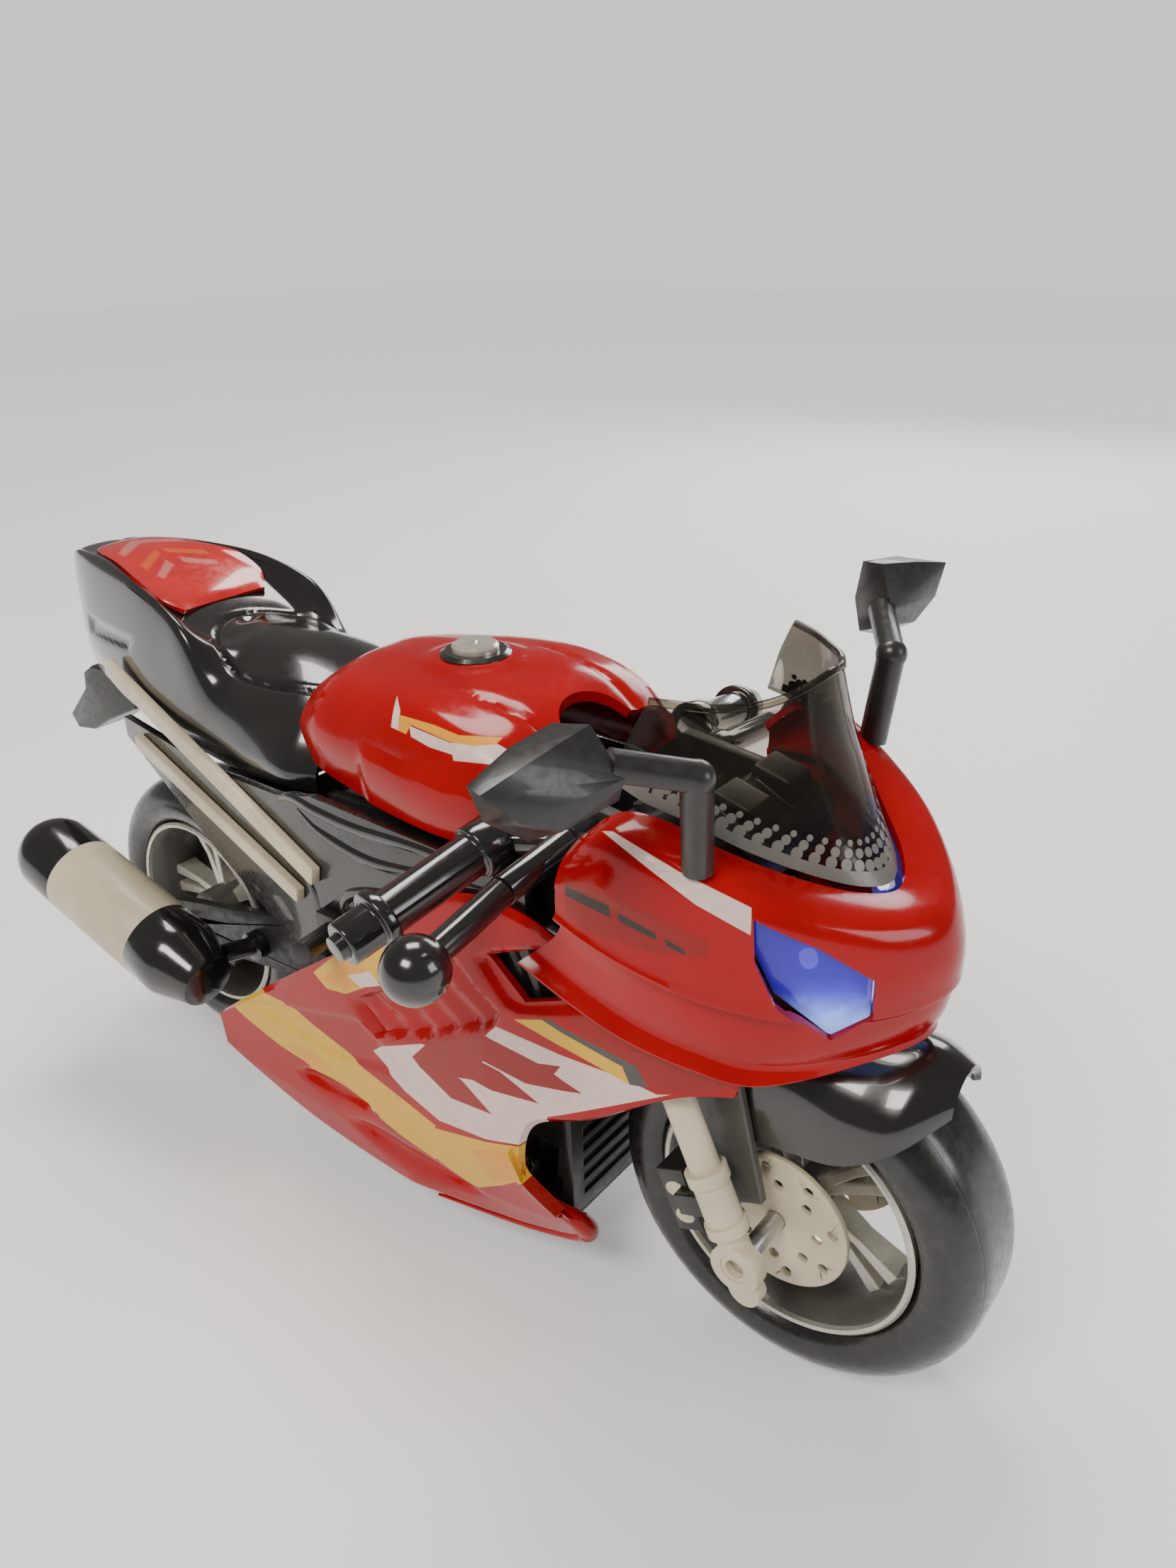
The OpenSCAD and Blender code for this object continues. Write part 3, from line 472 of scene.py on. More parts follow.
def mesh_black():
    """Gloss black with fine crossing ribs and dust."""
    p = Paint("ribbed_black")
    x, _, z = p.split()
    a = p.math("SINE", p.math("MULTIPLY", p.math("ADD", x, z), 4.2))
    b = p.math("SINE", p.math("MULTIPLY", p.math("SUBTRACT", x, z), 4.2))
    ribs = p.math("MULTIPLY", p.math("ADD", a, b), 0.2)
    dusty = p.ramp(p.noise(0.3, 4), 0.4, 0.75)
    p.set(Base_Color=p.blend(dusty, (0.009, 0.008, 0.007), (0.020, 0.018, 0.015)),
          Roughness=p.ramp(p.noise(0.6, 5), 0.3, 0.75, 0.2, 0.34))
    p.coat(0.5)
    p.bump(p.math("ADD", ribs, p.noise(0.3, 3)), 0.16, 0.0003)
    return p.mat


def smoke():
    """Smoke-tinted clear plastic with a fresnel sheen."""
    p = Paint("smoke_clear")
    clear = p.nodes.new("ShaderNodeBsdfTransparent")
    cloud = p.ramp(p.noise(0.12, 4), 0.3, 0.7)
    p.put(clear.inputs[0], p.blend(cloud, (0.70, 0.67, 0.61), (0.80, 0.77, 0.71)))
    p.set(Base_Color=(0.05, 0.045, 0.04), Roughness=p.ramp(p.noise(0.6, 4), 0.3, 0.8, 0.05, 0.16))
    p.coat(1.0)
    fresnel = p.nodes.new("ShaderNodeFresnel")
    fresnel.inputs[0].default_value = 1.5
    amount = p.math("ADD", p.math("MULTIPLY", fresnel.outputs[0], 0.7), 0.07)
    mix = p.nodes.new("ShaderNodeMixShader")
    p.links.new(amount, mix.inputs[0])
    p.links.new(clear.outputs[0], mix.inputs[1])
    p.links.new(p.bsdf.outputs[0], mix.inputs[2])
    p.links.new(mix.outputs[0], p.out.inputs[0])
    p.bump(p.noise(0.35, 3), 0.15, 0.0004)
    return p.mat


def lamp_glow(name, near, far, strength, clear=0.0):
    """Lit plastic: brightest along its lower edge, in the near colour, and dim in the far one above."""
    p = Paint(name)
    level = p.math("ADD", p.split()["Z"], p.math("MULTIPLY", p.noise(0.35, 3), 3.0))
    rise = p.ramp(level, 97.5, 106.5)
    tint = p.blend(rise, near, far)
    power = p.math("MULTIPLY", p.ramp(rise, 0.0, 0.8, 1.0, 0.18), strength)
    p.set(Base_Color=tint, Roughness=p.ramp(p.noise(1.0), 0.3, 0.7, 0.06, 0.14), Emission_Color=tint,
          Emission_Strength=power)
    p.coat(0.8)
    if clear:
        see = p.nodes.new("ShaderNodeBsdfTransparent")
        p.put(see.inputs[0], p.blend(rise, (0.8, 0.84, 1.0), (0.55, 0.5, 1.0)))
        mix = p.nodes.new("ShaderNodeMixShader")
        mix.inputs[0].default_value = 1 - clear
        p.links.new(see.outputs[0], mix.inputs[1])
        p.links.new(p.bsdf.outputs[0], mix.inputs[2])
        p.links.new(mix.outputs[0], p.out.inputs[0])
    return p.mat


tyre_mat = rubber()
ribbed = mesh_black()
smoke_mat = smoke()
lens_mat = lamp_glow("lens_blue", (0.30, 0.47, 1.0), (0.05, 0.02, 0.55), 1.0, 0.45)
bowl_mat = lamp_glow("lamp_bowl", (0.30, 0.45, 1.0), (0.10, 0.05, 0.55), 0.8)
led_mat = lamp_glow("lamp_led", (0.9, 0.95, 1.0), (0.75, 0.8, 1.0), 9.0)
mirror_mat = plastic("mirror_film", (0.72, 0.74, 0.76), 0.08, 0.2, 0.05, 0.1, metal=1.0).mat

# ---------------------------------------- nose cowl
def seen(*points):
    """An outline in the slanted plane that the cowl's and the tank's prints are drawn in."""
    return [(ACROSS[0] * x + ACROSS[1] * y, RISING[0] * x + RISING[1] * y + RISING[2] * z)
            for x, y, z in points]


COWL_WALL = 1.6
COWL_CORE = (95, 0, 100)
cowl_lines = [
    [[73, -31, 124], [81, -30, 131], [89, -28, 131], [98, -24, 126.5], [107, -16.5, 121], [115, -8.5, 117],
     [118.5, 0, 115]],
    [[72, -34.6, 121], [81, -36, 128.5], [90, -35.4, 127.5], [100, -31.8, 124], [112, -24.5, 119],
     [122.5, -12, 114.5], [126.5, 0, 113.5]],
    [[71.5, -36.5, 116], [80, -37.6, 119], [90, -37, 117], [101, -33.4, 113.5], [114.5, -24.8, 110],
     [125.5, -12.5, 107], [130, 0, 107]],
    [[71.5, -37, 110], [79, -38, 108.5], [89, -37.3, 106], [101, -34, 103], [113.5, -26.5, 100.5],
     [125, -13, 98.5], [130.5, 0, 99.5]],
    [[69, -36.6, 104], [78, -37, 101.5], [88, -36.6, 98.5], [99, -34, 95], [111, -27.8, 92],
     [123.5, -13.5, 91.5], [129.5, 0, 92.5]],
    [[62, -36.6, 97], [73, -36.4, 93], [85, -35.6, 89.5], [97, -32.8, 87], [108, -27.5, 85],
     [120, -14, 86.5], [127.5, 0, 88.5]]]


def cowl_grid():
    """The cowl's surface, with a sunk channel between two beads and a sunk band on each cheek."""
    rows = 12
    g = patch([both(line) for line in cowl_lines], rows, 10)
    n = normals(g, COWL_CORE)
    v = np.arange(g.shape[0])[:, None] / rows
    fade = 1 - 0.6 * smooth_step(g[:, :, 0], 106, 124)
    channel = smooth_step(v, 3.0, 3.12) * (1 - smooth_step(v, 4.55, 4.95)) * 2.3
    bead = np.exp(-((v - 2.92) / 0.09) ** 2) * 0.2 + np.exp(-((v - 4.95) / 0.10) ** 2) * 0.2
    band = smooth_step(v, 1.95, 2.05) * (1 - smooth_step(v, 2.8, 2.9)) * 0.35
    band = band * (1 - smooth_step(g[:, :, 0], 96, 101))
    return g + n * ((bead - channel) * fade - band)[:, :, None]


cowl_decals = [
    (MATT_RED, [seen((74.3, -37, 119.8), (89.2, -36.8, 119), (101.3, -33, 114.9), (101.2, -33.6, 111.9),
                     (91.6, -37, 111.2), (78.7, -38, 111.3), (74.9, -37.6, 113.1))]),
    (WHITE, [seen((81.9, -35.8, 130.2), (83.9, -35.6, 130.7), (96.1, -34.5, 126.8), (92.3, -36.4, 126.4)),
             seen((92.3, -36.4, 126.4), (96.1, -34.5, 126.8), (106.9, -29.8, 121.6), (107.3, -30.5, 117),
                  (99.3, -34.4, 121.8))]),
    (INK, [seen((74.8, -37.4, 118.2), (84.4, -37.6, 117.8), (84.5, -37.6, 115.6), (74.8, -37.4, 116.3)),
           seen((85.9, -37.4, 117), (93, -36.4, 115), (93.1, -36.4, 113.8), (86.3, -37.4, 115.4)),
           seen((94.4, -36, 114.4), (97.7, -35.2, 113.1), (98.1, -35.2, 112.1), (94.9, -36, 113.1))])]
cowl = wall("nose_cowl_shell", cowl_grid(), COWL_WALL, COWL_CORE, "chassis",
            red_paint("cowl_red", cowl_decals, "slant"), stands_for=["nose_cowl"], slot="red_gloss")
lamp_outline = [(-10.3, 13), (-9.9, 5.4), (-6.4, -2.6), (3.4, -11.2), (9.9, -7.2), (9.8, 0.6), (0, 7.8)]
LAMP_AT = (113.5, -20.5, 106)
LAMP_TURN = math.radians(54.3)
LAMP_GAP = 1.02  # the hole is this much larger than the lamp
UPRIGHT = Matrix(((0, 0, 1, 0), (1, 0, 0, 0), (0, 1, 0, 0), (0, 0, 0, 1)))
MIRRORED = Matrix.Scale(-1, 4, (0, 1, 0))


def lamp_place(side):
    """Where one lamp's own axes lie: its outline stands in the sloping nose."""
    place = Matrix.Translation(LAMP_AT) @ Matrix.Rotation(-LAMP_TURN, 4, "Z") @ UPRIGHT
    return MIRRORED @ place if side > 0 else place


lamp_hole = [(x * LAMP_GAP, y * LAMP_GAP) for x, y in lamp_outline]
for side in (-1, 1):
    cut(cowl, prism(lamp_hole, lamp_place(side), -9, 9), careful=True)

# ---------------------------------------- side fairings
FAIRING_WALL = 1.5
fairing_top = [[105, 84], [92, 91], [77, 98], [61, 105], [44, 104], [24, 89], [5, 75], [-13, 62], [-33, 47],
               [-47, 36]]
fairing_low = [[104, 81], [93, 76.5], [76, 64], [60, 54], [57.5, 36], [66.5, 25], [61.5, 15.5], [26, 13],
               [-14, 15.5], [-47, 25.5]]
belly = ([8, 14, 24, 40, 60, 85, 105], [29, 32, 33.5, 34.5, 35.5, 36, 34.5])
nose = ([-48, 50, 70, 80, 92, 106], [0, 0, 1.2, 2.6, 4.4, 8])
flute_zone = [(10, 65), (26, 78.5), (43.4, 90), (55.6, 81.5), (53.9, 77.4), (34.6, 66), (16, 57)]
vent_zone = [(49, 92.5), (53, 95.5), (66, 100.5), (84, 94.5), (81, 91.5), (60.5, 83.5), (56.6, 84)]
vent_hole = [(52, 93.5), (64, 99), (83, 95.5), (61, 86)]
step_zone = [(-46, 33), (-30, 48), (14, 62), (20, 56), (38, 45.5), (36, 43.5), (0, 44)]
FLUTE_PITCH = 7.6


def fairing_y(x, z):
    """Half-width of the fairing, with its flutes, recesses, step, scoops and two bosses."""
    y = np.interp(z, *belly) - np.interp(x, *nose)
    y = y - np.where((z < 40) & (x > 20), (x - 20) * (40 - z) * 0.008, 0)
    recess = np.maximum(inside(x, z, flute_zone, 1.6), inside(x, z, vent_zone, 1.6))
    s = (0.534 * x + 0.845 * z - 54) / FLUTE_PITCH
    saw = s - np.floor(s)
    flutes = inside(x, z, flute_zone, 2.2) * 1.1 * np.where(saw < 0.8, saw / 0.8, (1 - saw) / 0.2)
    y = y - 1.3 * recess - flutes
    y = y - 0.8 * inside(x, z, step_zone, 1.5)
    for a, b, w in (((-16, 31.5), (8, 33.0), 2.6), ((2, 25.0), (37, 22.5), 3.0)):
        a, b = np.array(a, float), np.array(b, float)
        t = np.clip(((x - a[0]) * (b - a)[0] + (z - a[1]) * (b - a)[1]) / ((b - a) ** 2).sum(), 0, 1)
        d = np.hypot(x - a[0] - t * (b - a)[0], z - a[1] - t * (b - a)[1])
        width = w * (0.45 + 0.9 * np.sin(np.pi * np.clip(t, 0.05, 0.95)))
        y = y - 2.0 * np.exp(-(d / width) ** 2 * 1.6) * smooth_step(t, -0.01, 0.12)
    for cx, cz in ((87.5, 89.4), (96.0, 86.2)):
        y = y + 0.9 * np.clip(1 - ((x - cx) ** 2 + (z - cz) ** 2) / 3.2, 0, 1) ** 0.5
    return y


def fairing_grid(sign):
    """One fairing's surface, from its top line to its low line, with both edges rolled in."""
    top = through(fairing_top, 14)[::-1]
    low = through(fairing_low, 14)[::-1]
    k = np.linspace(0, 1, 77)[:, None]
    flat = top[None] * (1 - k[:, :, None]) + low[None] * k[:, :, None]
    x, z = flat[:, :, 0], flat[:, :, 1]
    roll = 1.6 * (1 - smooth_step(np.abs(1 - k), 0, 0.04)) + 0.9 * (1 - smooth_step(k, 0, 0.03))
    return np.stack([x, sign * (fairing_y(x, z) - roll), z], axis=2)


def fairing_lip():
    """The rolled edge of the fairing's mouth and toe: its line, its radii and its half-widths."""
    line = through(fairing_low, 10)[36:71]
    along = np.gradient(line, axis=0)
    inward = np.stack([-along[:, 1], along[:, 0]], axis=1) / np.linalg.norm(along, axis=1, keepdims=True)
    inward *= np.sign((inward * ([20, 50] - line)).sum(axis=1))[:, None]
    t = np.linspace(0, 1, len(line))
    radius = np.interp(t, [0, 0.25, 0.45, 0.6, 1], [0.4, 1.5, 2.4, 2.4, 0.35])
    edge = line + inward * (0.7 * radius)[:, None]
    return edge, radius, fairing_y(edge[:, 0], edge[:, 1]) - radius + 0.15


white_shapes = [
    [(13.9, 52.4), (18.3, 56.3), (31.8, 63.5), (39.2, 64.8), (36.1, 50.2), (23.9, 46.2)],
    [(23.9, 46.2), (34.1, 56.8), (58.4, 65.2), (65.7, 60.9), (61.4, 50.5), (47.8, 45.6), (33.9, 43.1)],
    [(52.2, 76.0), (56.4, 80.7), (59.8, 81.7), (82.9, 78.0), (92.5, 77.9), (73.9, 67.3), (58.1, 60.7),
     (45.2, 65.9)],
    [(58.4, 65.2), (92.5, 77.9), (65.7, 60.9), (57.8, 57.8)]]
flames = [
    [(28.2, 58.3), (33.8, 64.7), (51.6, 74.8), (54.9, 73.0), (44.7, 62.1), (33.8, 55.2), (30.4, 56.3)],
    [(51.2, 74.6), (65.7, 73.5), (74.2, 70.6), (60.7, 67.0), (46.8, 68.0)],
    [(64.1, 73.6), (69.7, 75.4), (67.6, 72.2)],
    [(45.4, 67.7), (54.3, 67.0), (63.8, 63.3), (51.6, 60.9), (38.8, 61.4)],
    [(34.8, 61.3), (43.4, 59.2), (50.8, 54.1), (38.9, 52.2), (30.0, 56.6)]]
fairing_decals = [
    (MATT_RED, [[(70.9, 87.5), (83.7, 92), (99, 88), (103, 83), (95.9, 79), (89.6, 78.4), (76.6, 83.9)],
                [(33.8, 65.4), (53.9, 77), (44, 61), (36.8, 51.6), (29.8, 58.6)]]),
    (WHITE, white_shapes), (MATT_RED, flames),
    (YELLOW, [[(59.0, 82.0), (65.9, 84.8), (73.2, 82.9), (71.2, 80.1)],
              [(72.5, 83.4), (83.0, 80.8), (84.4, 77.0), (71.2, 80.1)]]),
    (GREY, [[(65.7, 84.8), (67.6, 85.5), (83.7, 82.2), (83.0, 80.6)],
            [(83.0, 80.6), (83.7, 82.2), (85.8, 81.8), (88.2, 77.8), (84.4, 77.0)]]),
    (YELLOW, [[(-46, 44), (-33, 52), (-16.7, 53), (-8.4, 50.2), (-11.3, 36.4), (-22.2, 36.9), (-34, 39.5)],
              [(-8.6, 50.2), (5.2, 47.1), (12.9, 33.1), (1.8, 32.8), (-11.4, 35.4)],
              [(5.1, 47.1), (25, 42.6), (32.4, 40.8), (29.4, 27.9), (12.8, 32.1)],
              [(31.8, 39.7), (47.7, 44.7), (38.7, 24.7), (28.0, 29.0)],
              [(47.6, 44.7), (61.3, 50.0), (63.8, 44.7), (48.4, 30.4), (41.0, 24.9), (38.4, 24.8)],
              [(-2.2, 67.8), (6.9, 76.3), (17.5, 83), (17.5, 72.5), (8.5, 66.4), (1.9, 65)],
              [(17.4, 83.6), (27.7, 91), (26.1, 78.6), (17.4, 72.5)]]),
    (ORANGE, [[(42, 39), (50, 44), (60, 46), (56, 38), (46, 30)],
              [(-20, 39), (-8, 42), (-2, 38), (-12, 36)],
              [(0, 67), (10, 76), (17, 77), (15, 72), (8.5, 67)]]),
    (WHITE, [[(10, 72), (18, 76.4), (21, 73.8), (14, 70.6)]])]
fairing_mat = red_paint("fairing_red", fairing_decals)
SIDEWAYS = Matrix(((1, 0, 0, 0), (0, 0, 1, 0), (0, 1, 0, 0), (0, 0, 0, 1)))
edge, bead, edge_y = fairing_lip()
for sign, node in ((-1, "side_fairing_right"), (1, "side_fairing_left")):
    panel = wall(node + "_shell", fairing_grid(sign), FAIRING_WALL, (20, 0, 50), "chassis", fairing_mat,
                 stands_for=[node], slot="red_gloss", angle=24)
    cut(panel, prism(vent_hole, SIDEWAYS, *sorted((sign * 24, sign * 50))), careful=True)
    lip = np.stack([edge[:, 0], sign * edge_y, edge[:, 1]], axis=1)
    make(node + "_lip", *tube(lip, bead, 14), "chassis", fairing_mat, slot="red_gloss")

# ---------------------------------------- tank
TANK_WALL = 2.0
TANK_CORE = (20, 0, 112)


def section(x, points):
    """The cross-section at x, from the (y, z) points of its right half."""
    return both([[x, y, z] for y, z in points])


tank_sections = [
    section(-14.5, [[-20, 114], [-20.5, 121], [-15, 127], [-7, 129.5], [0, 130]]),
    section(-5, [[-24, 113.6], [-24.5, 122.5], [-18.5, 131], [-8, 134.5], [0, 135]]),
    section(8, [[-26.5, 113], [-27, 123], [-21, 133], [-9, 136.3], [0, 136.8]]),
    section(21, [[-28, 112.5], [-28.8, 122.5], [-23.5, 134], [-10, 136.8], [0, 137]]),
    section(34, [[-28.5, 112], [-29.5, 121], [-24.5, 134], [-12, 136.8], [0, 137]]),
    section(46, [[-27, 111.5], [-28.5, 119.5], [-24.5, 130.5], [-13, 134], [0, 134.6]]),
    section(54, [[-24, 111.5], [-25.5, 117], [-22.5, 125.5], [-13, 129], [0, 129.8]])]


def tank_grid():
    """The tank's surface, with the cap's seat, swelled flanks, creases and knee hollows."""
    g = patch(tank_sections, 10, 10)
    n = normals(g, TANK_CORE)
    x, y, z = g[:, :, 0], np.abs(g[:, :, 1]), g[:, :, 2]
    out = np.zeros_like(x)
    ring = np.hypot(x - 21, y)
    out += 0.9 * (1 - smooth_step(ring, 8.5, 12.5))
    lower = smooth_step(z, 111, 112) * (1 - smooth_step(z, 123.5, 124.6))
    out += 0.7 * lower * smooth_step(x, 12, 16)
    out -= 0.7 * np.exp(-((y - 16 + 0.10 * (x - 20)) / 1.0) ** 2) * smooth_step(x, 22, 30) * (z > 126)
    hollow = np.exp(-(((x - 36) / 9) ** 2 + ((y - 20) / 5) ** 2))
    out -= 0.8 * hollow
    return g + n * out[:, :, None]


tank_decals = [
    (WHITE, [seen((20.5, -22.9, 135.9), (23.6, -25, 134.2), (25.0, -27.2, 131.0), (22.7, -27.0, 131.1)),
             seen((27.7, -26.7, 132.5), (38.6, -26.8, 131.7), (40.3, -27.8, 128.8), (34.2, -28.0, 130.1),
                  (29.4, -28.0, 130.1)),
             seen((38.6, -26.8, 131.7), (47.3, -23.1, 132.4), (51, -23, 131.5), (50.5, -24.9, 129.4),
                  (40.3, -27.8, 128.8))]),
    (ORANGE, [seen((24.4, -25.9, 133.7), (28.5, -26.2, 133.9), (27.4, -27.5, 130.9), (25.0, -27.2, 131.0)),
              seen((24.4, -25.9, 133.7), (34.2, -26.4, 134.2), (40.2, -26.0, 133.4), (38.6, -26.8, 131.9),
                   (27.6, -26.6, 132.8)),
              seen((38.6, -26.8, 131.9), (40.2, -26.0, 133.4), (48, -22.3, 133.6), (47.3, -23.5, 132.4),
                   (43.8, -26.1, 132.1))])]
tank = wall("tank_shell", tank_grid(), TANK_WALL, TANK_CORE, "chassis",
            red_paint("tank_red", tank_decals, "slant"), stands_for=["tank_cover"], slot="red_gloss")


def circle(r, steps=48):
    """Outline of a round hole."""
    turns = [2 * math.pi * k / steps for k in range(steps)]
    return [(r * math.cos(a), r * math.sin(a)) for a in turns]


CAP_HOLE = 6.0
NECK_X, NECK_HOLE = 57, 10.5  # the notch that clears the steering head
cut(tank, prism(circle(CAP_HOLE), Matrix.Translation((mid("cap_button")[0], 0, 0)), 110, 160))
cut(tank, prism(circle(NECK_HOLE), Matrix.Translation((NECK_X, 0, 0)), 100, 160))

# ---------------------------------------- seat and tail
SEAT_WALL = 2.0
SEAT_CORE = (-70, 0, 112)
seat_sections = [
    section(-8, [[-23.4, 106.5], [-22.8, 111.5], [-18, 118], [-9, 122], [0, 123]]),
    section(-15.2, [[-26, 107], [-26.6, 112], [-20, 121], [-9, 125], [0, 126]]),
    section(-30, [[-24.5, 105], [-25, 112], [-20.5, 122], [-9, 128.5], [0, 130]]),
    section(-44, [[-22.5, 104], [-23.5, 112], [-21, 123], [-10, 129], [0, 131]]),
    section(-53, [[-21.5, 104], [-23, 113], [-21.5, 133.5], [-12, 129.5], [0, 131]]),
    section(-62, [[-21, 104], [-22.5, 114], [-20.5, 138], [-14, 132.5], [0, 131.5]]),
    section(-76, [[-19, 105.5], [-21, 116], [-18.5, 140.5], [-14, 138.5], [0, 137]]),
    section(-94, [[-16, 107], [-17.5, 118], [-15, 141], [-10, 142.6], [0, 142.6]]),
    section(-111, [[-11.5, 109], [-13, 120], [-11, 140.5], [-7, 142.2], [0, 142.6]]),
    section(-123, [[-7, 108], [-8, 118], [-7, 137.5], [-5, 140.4], [0, 141]]),
    section(-131, [[-2.4, 106], [-2.8, 114], [-2.8, 127], [-2.2, 133], [0, 134]])]


def seat_grid():
    """The seat's and tail's surface, with the pad, the groove round it, the side slots and a dimple."""
    g = patch(seat_sections, 14, 26)
    n = normals(g, SEAT_CORE)
    x, y, z = g[:, :, 0], np.abs(g[:, :, 1]), g[:, :, 2]
    out = np.zeros_like(x)
    edge = np.hypot((x + 36) / 26.0, y / 17.0)
    pad = 1 - smooth_step(edge, 0.93, 1.03)
    groove = np.exp(-((edge - 1.0) / 0.035) ** 2) * (z > 116)
    out += 0.5 * pad * (z > 116) - 0.9 * groove
    slot = inside(x, z, [(-113, 120), (-82, 123), (-76, 128.5), (-111, 127)], 2.6) * (z < 132)
    out -= 0.95 * slot
    out -= 1.2 * np.exp(-(((x + 57.5) ** 2 + y ** 2) / 4.5)) * (z > 125)
    return g + n * out[:, :, None]


wall("seat_shell", seat_grid(), SEAT_WALL, SEAT_CORE, "chassis", gloss_black, stands_for=["seat_unit"],
     slot="gloss_black")
INSERT_WALL = 1.1
INSERT_CORE = (-90, 0, 110)
INSERT_ACROSS = 41


def insert_grid():
    """The red insert follows the top of the tail, a little proud of it."""
    rows, cols = 12, 12
    g = patch(seat_sections, rows, cols)
    r0, r1 = int(5.5 * rows), int(8.0 * rows)
    part = g[r0:r1 + 1]
    out = []
    for i, row in enumerate(part):
        t = i / (len(part) - 1)
        half = np.interp(t, [0, 0.12, 0.35, 0.8, 1.0], [0.8, 1.15, 1.45, 1.3, 0.9])
        u = np.linspace(4 - half, 4 + half, INSERT_ACROSS) * cols
        low = np.clip(np.floor(u).astype(int), 0, len(row) - 2)
        f = (u - low)[:, None]
        line = row[low] * (1 - f) + row[low + 1] * f
        side = np.abs(np.linspace(-1, 1, INSERT_ACROSS))
        line[:, 0] += 3.0 * side ** 2 * (1 - t)
        out.append(line)
    g = np.array(out)
    n = normals(g, INSERT_CORE)
    a = np.linspace(-1, 1, g.shape[1])[None, :]
    b = np.linspace(-1, 1, g.shape[0])[:, None]
    crown = (1 - np.abs(a) ** 10) * (1 - np.abs(b) ** 14)
    return g + n * (0.35 + 0.9 * crown + 0.5 * np.exp(-(a / 0.5) ** 2) * (1 - b * b))[:, :, None]


tail_decals = [(WHITE, [(-104, 0), (-96, 9), (-93, 9), (-99, 0)]),
               (WHITE, [(-86, 2), (-80, 9), (-78.5, 8), (-83.5, 1.5)]),
               (ORANGE, [(-92, 1), (-86, 9.5), (-83, 9.5), (-89.5, 1)])]


def tail_red():
    """Red gloss with a faint orange and white flash on each side of the middle."""
    p = Paint("tail_red")
    x, y, _ = p.split()
    flat = p.plane(x, p.math("ABSOLUTE", y))
    color = p.blend(p.ramp(p.noise(0.08), 0.3, 0.7), (0.46, 0.010, 0.012), (0.56, 0.014, 0.014))
    for tint, shape in tail_decals:
        mask = p.math("MULTIPLY", p.outline(flat, shape, 0.5), 0.22)
        color = p.blend(mask, color, tint)
    p.set(Base_Color=color, Roughness=p.ramp(p.noise(0.6, 4), 0.3, 0.8, 0.15, 0.28))
    p.coat(0.6)
    p.bump(p.noise(0.3, 2), 0.1, 0.0003)
    return p.mat


wall("tail_insert", insert_grid(), INSERT_WALL, INSERT_CORE, "chassis", tail_red(),
     stands_for=["tail_cover"], slot="red_gloss")

# ---------------------------------------- front fender
FENDER_WALL = 1.4
fender_sections = [
    section(84, [[-18.4, 62], [-17.6, 74], [-10, 82], [0, 83.4]]),
    section(96, [[-18, 62], [-16.6, 75], [-9.4, 82.8], [0, 84]]),
    section(108, [[-16.8, 62.6], [-16.1, 76], [-9.8, 83], [0, 84.2]]),
    section(119, [[-16.8, 65], [-15.2, 75], [-8.2, 82.6], [0, 84.2]]),
    section(128, [[-15, 71], [-13.2, 77], [-7, 83], [0, 85.4]]),
    section(135, [[-6.6, 77], [-6, 79.5], [-3.6, 82.4], [0, 83.6]])]
axle = mid("front_axle")
RAKE = math.radians(24.6)


def fork(x, y, z):
    """A place given in the fork's own leaning frame."""
    return np.array([axle[0] + x * math.cos(RAKE) - z * math.sin(RAKE), y,
                     axle[2] + z * math.cos(RAKE) + x * math.sin(RAKE)])


def fork_plate(outline, *widths):
    """A plate between two widths, its outline given in the fork's leaning frame."""
    verts = [fork(x, y, z) for y in widths for x, z in outline]
    return np.array(verts), plate_faces(len(outline))


def bevelled(obj, width, segments):
    """Rounds the object's sharp edges to this width, in millimetres."""
    weld = obj.modifiers.new("weld", "WELD")
    weld.merge_threshold = 2 * SAME
    mod = obj.modifiers.new("bevel", "BEVEL")
    mod.width = width * MM
    mod.segments = segments
    mod.limit_method = "ANGLE"
    mod.angle_limit = math.radians(BEVEL_FROM)
    mod.use_clamp_overlap = True
    mod.harden_normals = True


wall("front_fender_shell", patch(fender_sections, 10, 10), FENDER_WALL, (105, 0, 60), "steering",
     gloss_black, stands_for=["front_fender"], slot="gloss_black")
stay = [(-5, 8), (4, 8), (10, 38), (9, 44), (-8, 44), (-8, 26)]
for sign, name in ((-1, "fender_stay_right"), (1, "fender_stay_left")):
    widths = sorted((sign * 19.4, sign * 17.4))
    bevelled(make(name, *fork_plate(stay, *widths), "steering", dark_grey), 0.5, 3)

pads = []
for z in (7.6, 13.6):
    turns = np.linspace(0, 2 * math.pi, 25)[:-1]
    oval = [(-11.7 + 2.3 * math.cos(t), z + 1.7 * math.sin(t)) for t in turns]
    pads += [fork_plate(oval, -24.7, -24.2), fork_plate(oval, 24.2, 24.7)]
bevelled(make("caliper_pads", *join(*pads), "steering", cream, slot="cream_plastic"), 0.2, 2)

